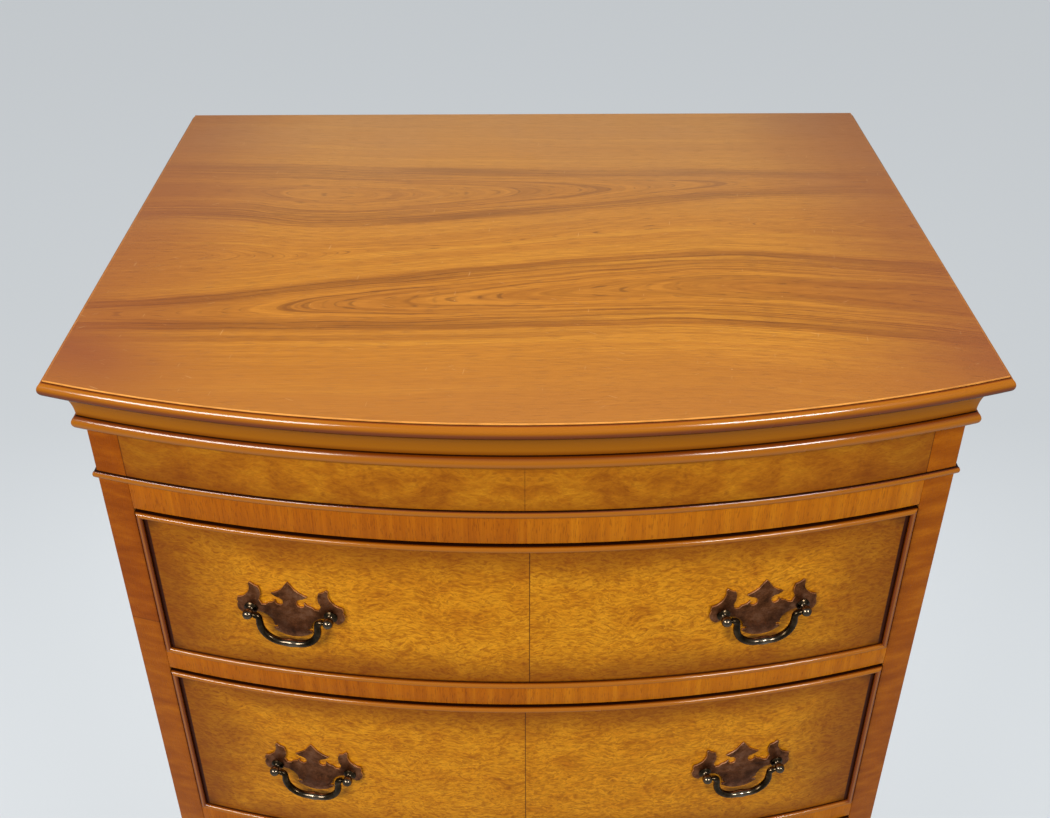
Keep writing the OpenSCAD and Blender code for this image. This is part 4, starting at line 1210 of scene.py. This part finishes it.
def bailRule(inverse):
    # Worn bright in the middle of the grip, with a painted highlight along it
    def rule(point):
        here = inverse @ point
        return here, clamp(1 - abs(here.x) / bail["brightHalf"]) * clamp(-here.z / bail["drop"]), 0.0
    return rule


def mountRule(inverses):
    # Worn bright on the balls and along the plates' bevels, with a painted highlight on both
    def rule(point):
        here = inverses[1 if point.x > 0 else -1] @ point
        out = -here.y
        onBall = clamp((out - post["brightFrom"]) / post["brightOver"])
        onBevel = 1.0 if handle["bevelFrom"] < out < handle["plate"] - 0.02 * mm else 0.0
        return here, max(onBall * 0.5, onBevel), 0.0
    return rule


def buildHandles():
    postShape, nutShape = finished(buildPost(), castMetal), finished(buildNut(), castMetal)
    bailShape = buildBail()
    endForEnd = Matrix.Rotation(math.pi, 4, "Z") @ Matrix.Scale(-1, 4, (0, 1, 0))
    for number in drawerNumbers:
        body = drawerName(number)
        radius = drawerRadius(number)
        # The nuts bear on the bowed inner face at their outer corners
        reach = handle["pitch"] / 2 + nut["corner"]
        seat = radius - math.sqrt((radius - handle["frontThick"]) ** 2 - reach ** 2) + plan["joint"]
        parts = [plateCopies(number)]
        for side, label in ((-1, "left"), (1, "right")):
            here = handlePlace(number, side)
            for end in (-1, 1):
                there = here @ Matrix.Translation((end * handle["pitch"] / 2, 0, -handle["postDrop"]))
                parts.append(placedCopy(postShape, "post", there if end > 0 else there @ endForEnd))
                parts.append(placedCopy(nutShape, "nut", there @ Matrix.Translation((0, seat, 0))))
            hung = here @ Matrix.Translation((0, -post["ballOut"], -handle["postDrop"]))
            piece = placedCopy(bailShape, body + "_" + label + "_bail", hung)
            paint(piece, bailRule(hung.inverted()))
            dress(finished(piece, castMetal), body + "_bail_" + label, body + "_bail_" + label)
        mounts = joined(body + "_mounts", parts)
        faceOutwards(mounts)
        smooth(mounts, 40)
        paint(mounts, mountRule({side: handlePlace(number, side).inverted() for side in (-1, 1)}))
        dress(mounts, body, body + "_handle_mounts")
    discard(postShape, nutShape, bailShape)


buildHandles()
print("handles modelled")


# What stays as the frame has it gets its material

def dressNodes(material, *names):
    for name in names:
        finished(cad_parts[name], material)


for number, burr in zip(drawerNumbers, drawerBurrs):
    dressNodes(burr, drawerName(number) + "_front")
    dressNodes(liningWood, drawerName(number) + "_box")
dressNodes(friezeBurr, "frieze_board")
dressNodes(upperPanelWood, "upper_back")
dressNodes(lowerPanelWood, "lower_back")
dressNodes(caseInside, "upper_bottom", "lower_top", "lower_bottom")
dressNodes(liningWood, "upper_runners", "lower_runners", "foot_blocks")
dressNodes(castMetal, "joining_screws")
dressNodes(sideWood, "bracket_feet")
print("frame dressed")


# Floor, light and camera

room = {"floor": srgb(136, 140, 143), "floorSize": 30, "floorRoughness": 0.8,
        "backdrop": srgb(208, 212, 215), "backdropSeen": 0.72, "backdropMirrored": 0.12,
        "air": srgb(226, 232, 238), "airLight": 0.34, "airSeen": 0.58}


def makeFloor():
    bpy.ops.object.select_all(action="DESELECT")
    bpy.ops.mesh.primitive_plane_add(size=room["floorSize"], location=(0, 0, 0))
    floor = bpy.context.active_object
    floor.name = "floor"
    material, tree, surface = startMaterial("paleFloor")
    # The backdrop's own paleness, which lights nothing
    rays = addNode(tree, "LightPath").outputs
    mirror = times(larger(rays["Is Glossy Ray"], rays["Is Transmission Ray"]), room["backdropMirrored"])
    feed(surface, {
        "Base Color": room["floor"], "Roughness": room["floorRoughness"], "Emission Color": room["backdrop"],
        "Emission Strength": timesPlus(rays["Is Camera Ray"], room["backdropSeen"], mirror)})
    floor.data.materials.append(material)


def makeWorld():
    world = bpy.data.worlds.new("paleRoom")
    world.use_nodes = True
    bpy.context.scene.world = world
    rays = addNode(world.node_tree, "LightPath").outputs
    seen = larger(rays["Is Camera Ray"], rays["Is Transmission Ray"])
    feed(world.node_tree.nodes["Background"], {
        "Color": room["air"], "Strength": timesPlus(seen, room["airSeen"], room["airLight"])})


def makeLamp(name, location, target, size, watts, colour, mirrored=True):
    lamp = bpy.data.lights.new(name, "AREA")
    lamp.shape = "RECTANGLE"
    lamp.size, lamp.size_y = size
    lamp.energy = watts
    lamp.color = colour
    holder = bpy.data.objects.new(name, lamp)
    holder.location = location
    holder.rotation_euler = (Vector(target) - Vector(location)).to_track_quat("-Z", "Y").to_euler()
    holder.visible_glossy = mirrored
    holder.visible_camera = False
    bpy.context.scene.collection.objects.link(holder)


# In front of the chest and above it, looking down on the top
viewpoint = {"place": (-0.00445, -0.84707, 1.71781), "down": 34.25, "turn": -0.005, "tilt": -0.0018,
             "lens": 42.655, "sensor": 36, "nearest": 0.05}


def makeCamera():
    lens = bpy.data.cameras.new("camera")
    lens.sensor_width = viewpoint["sensor"]
    lens.lens = viewpoint["lens"]
    lens.clip_start = viewpoint["nearest"]
    holder = bpy.data.objects.new("camera", lens)
    bpy.context.scene.collection.objects.link(holder)
    holder.matrix_world = (Matrix.Translation(viewpoint["place"]) @ Matrix.Rotation(viewpoint["turn"], 4, "Z")
                           @ Matrix.Rotation(math.radians(90 - viewpoint["down"]), 4, "X")
                           @ Matrix.Rotation(viewpoint["tilt"], 4, "Z"))
    bpy.context.scene.camera = holder


makeFloor()
makeWorld()
lampWhite = (1.0, 0.99, 0.97)
makeLamp("windowLeft", (-1.75, -2.1, 2.7), (0, 0, 1.1), (1.5, 0.7), 69, (1.0, 0.98, 0.96))
makeLamp("windowRight", (1.35, -2.2, 2.65), (0, 0, 1.1), (0.8, 0.5), 39, (0.97, 0.98, 1.0))
makeLamp("ceiling", (0, 0.3, 3.4), (0, 0, 1.2), (1.6, 1.6), 25, lampWhite, mirrored=False)
makeLamp("behind", (0, 1.7, 0.5), (0, 0, 0.8), (0.9, 0.4), 13, lampWhite)
makeLamp("besideRight", (2.3, 0.1, 1.3), (0.3, 0, 0.7), (0.8, 1.6), 13, lampWhite, mirrored=False)
makeLamp("besideLeft", (-2.3, 0.1, 1.3), (-0.3, 0, 0.7), (0.8, 1.6), 9, lampWhite, mirrored=False)
makeCamera()
bpy.context.scene.view_settings.view_transform = "Standard"
print("stage set")
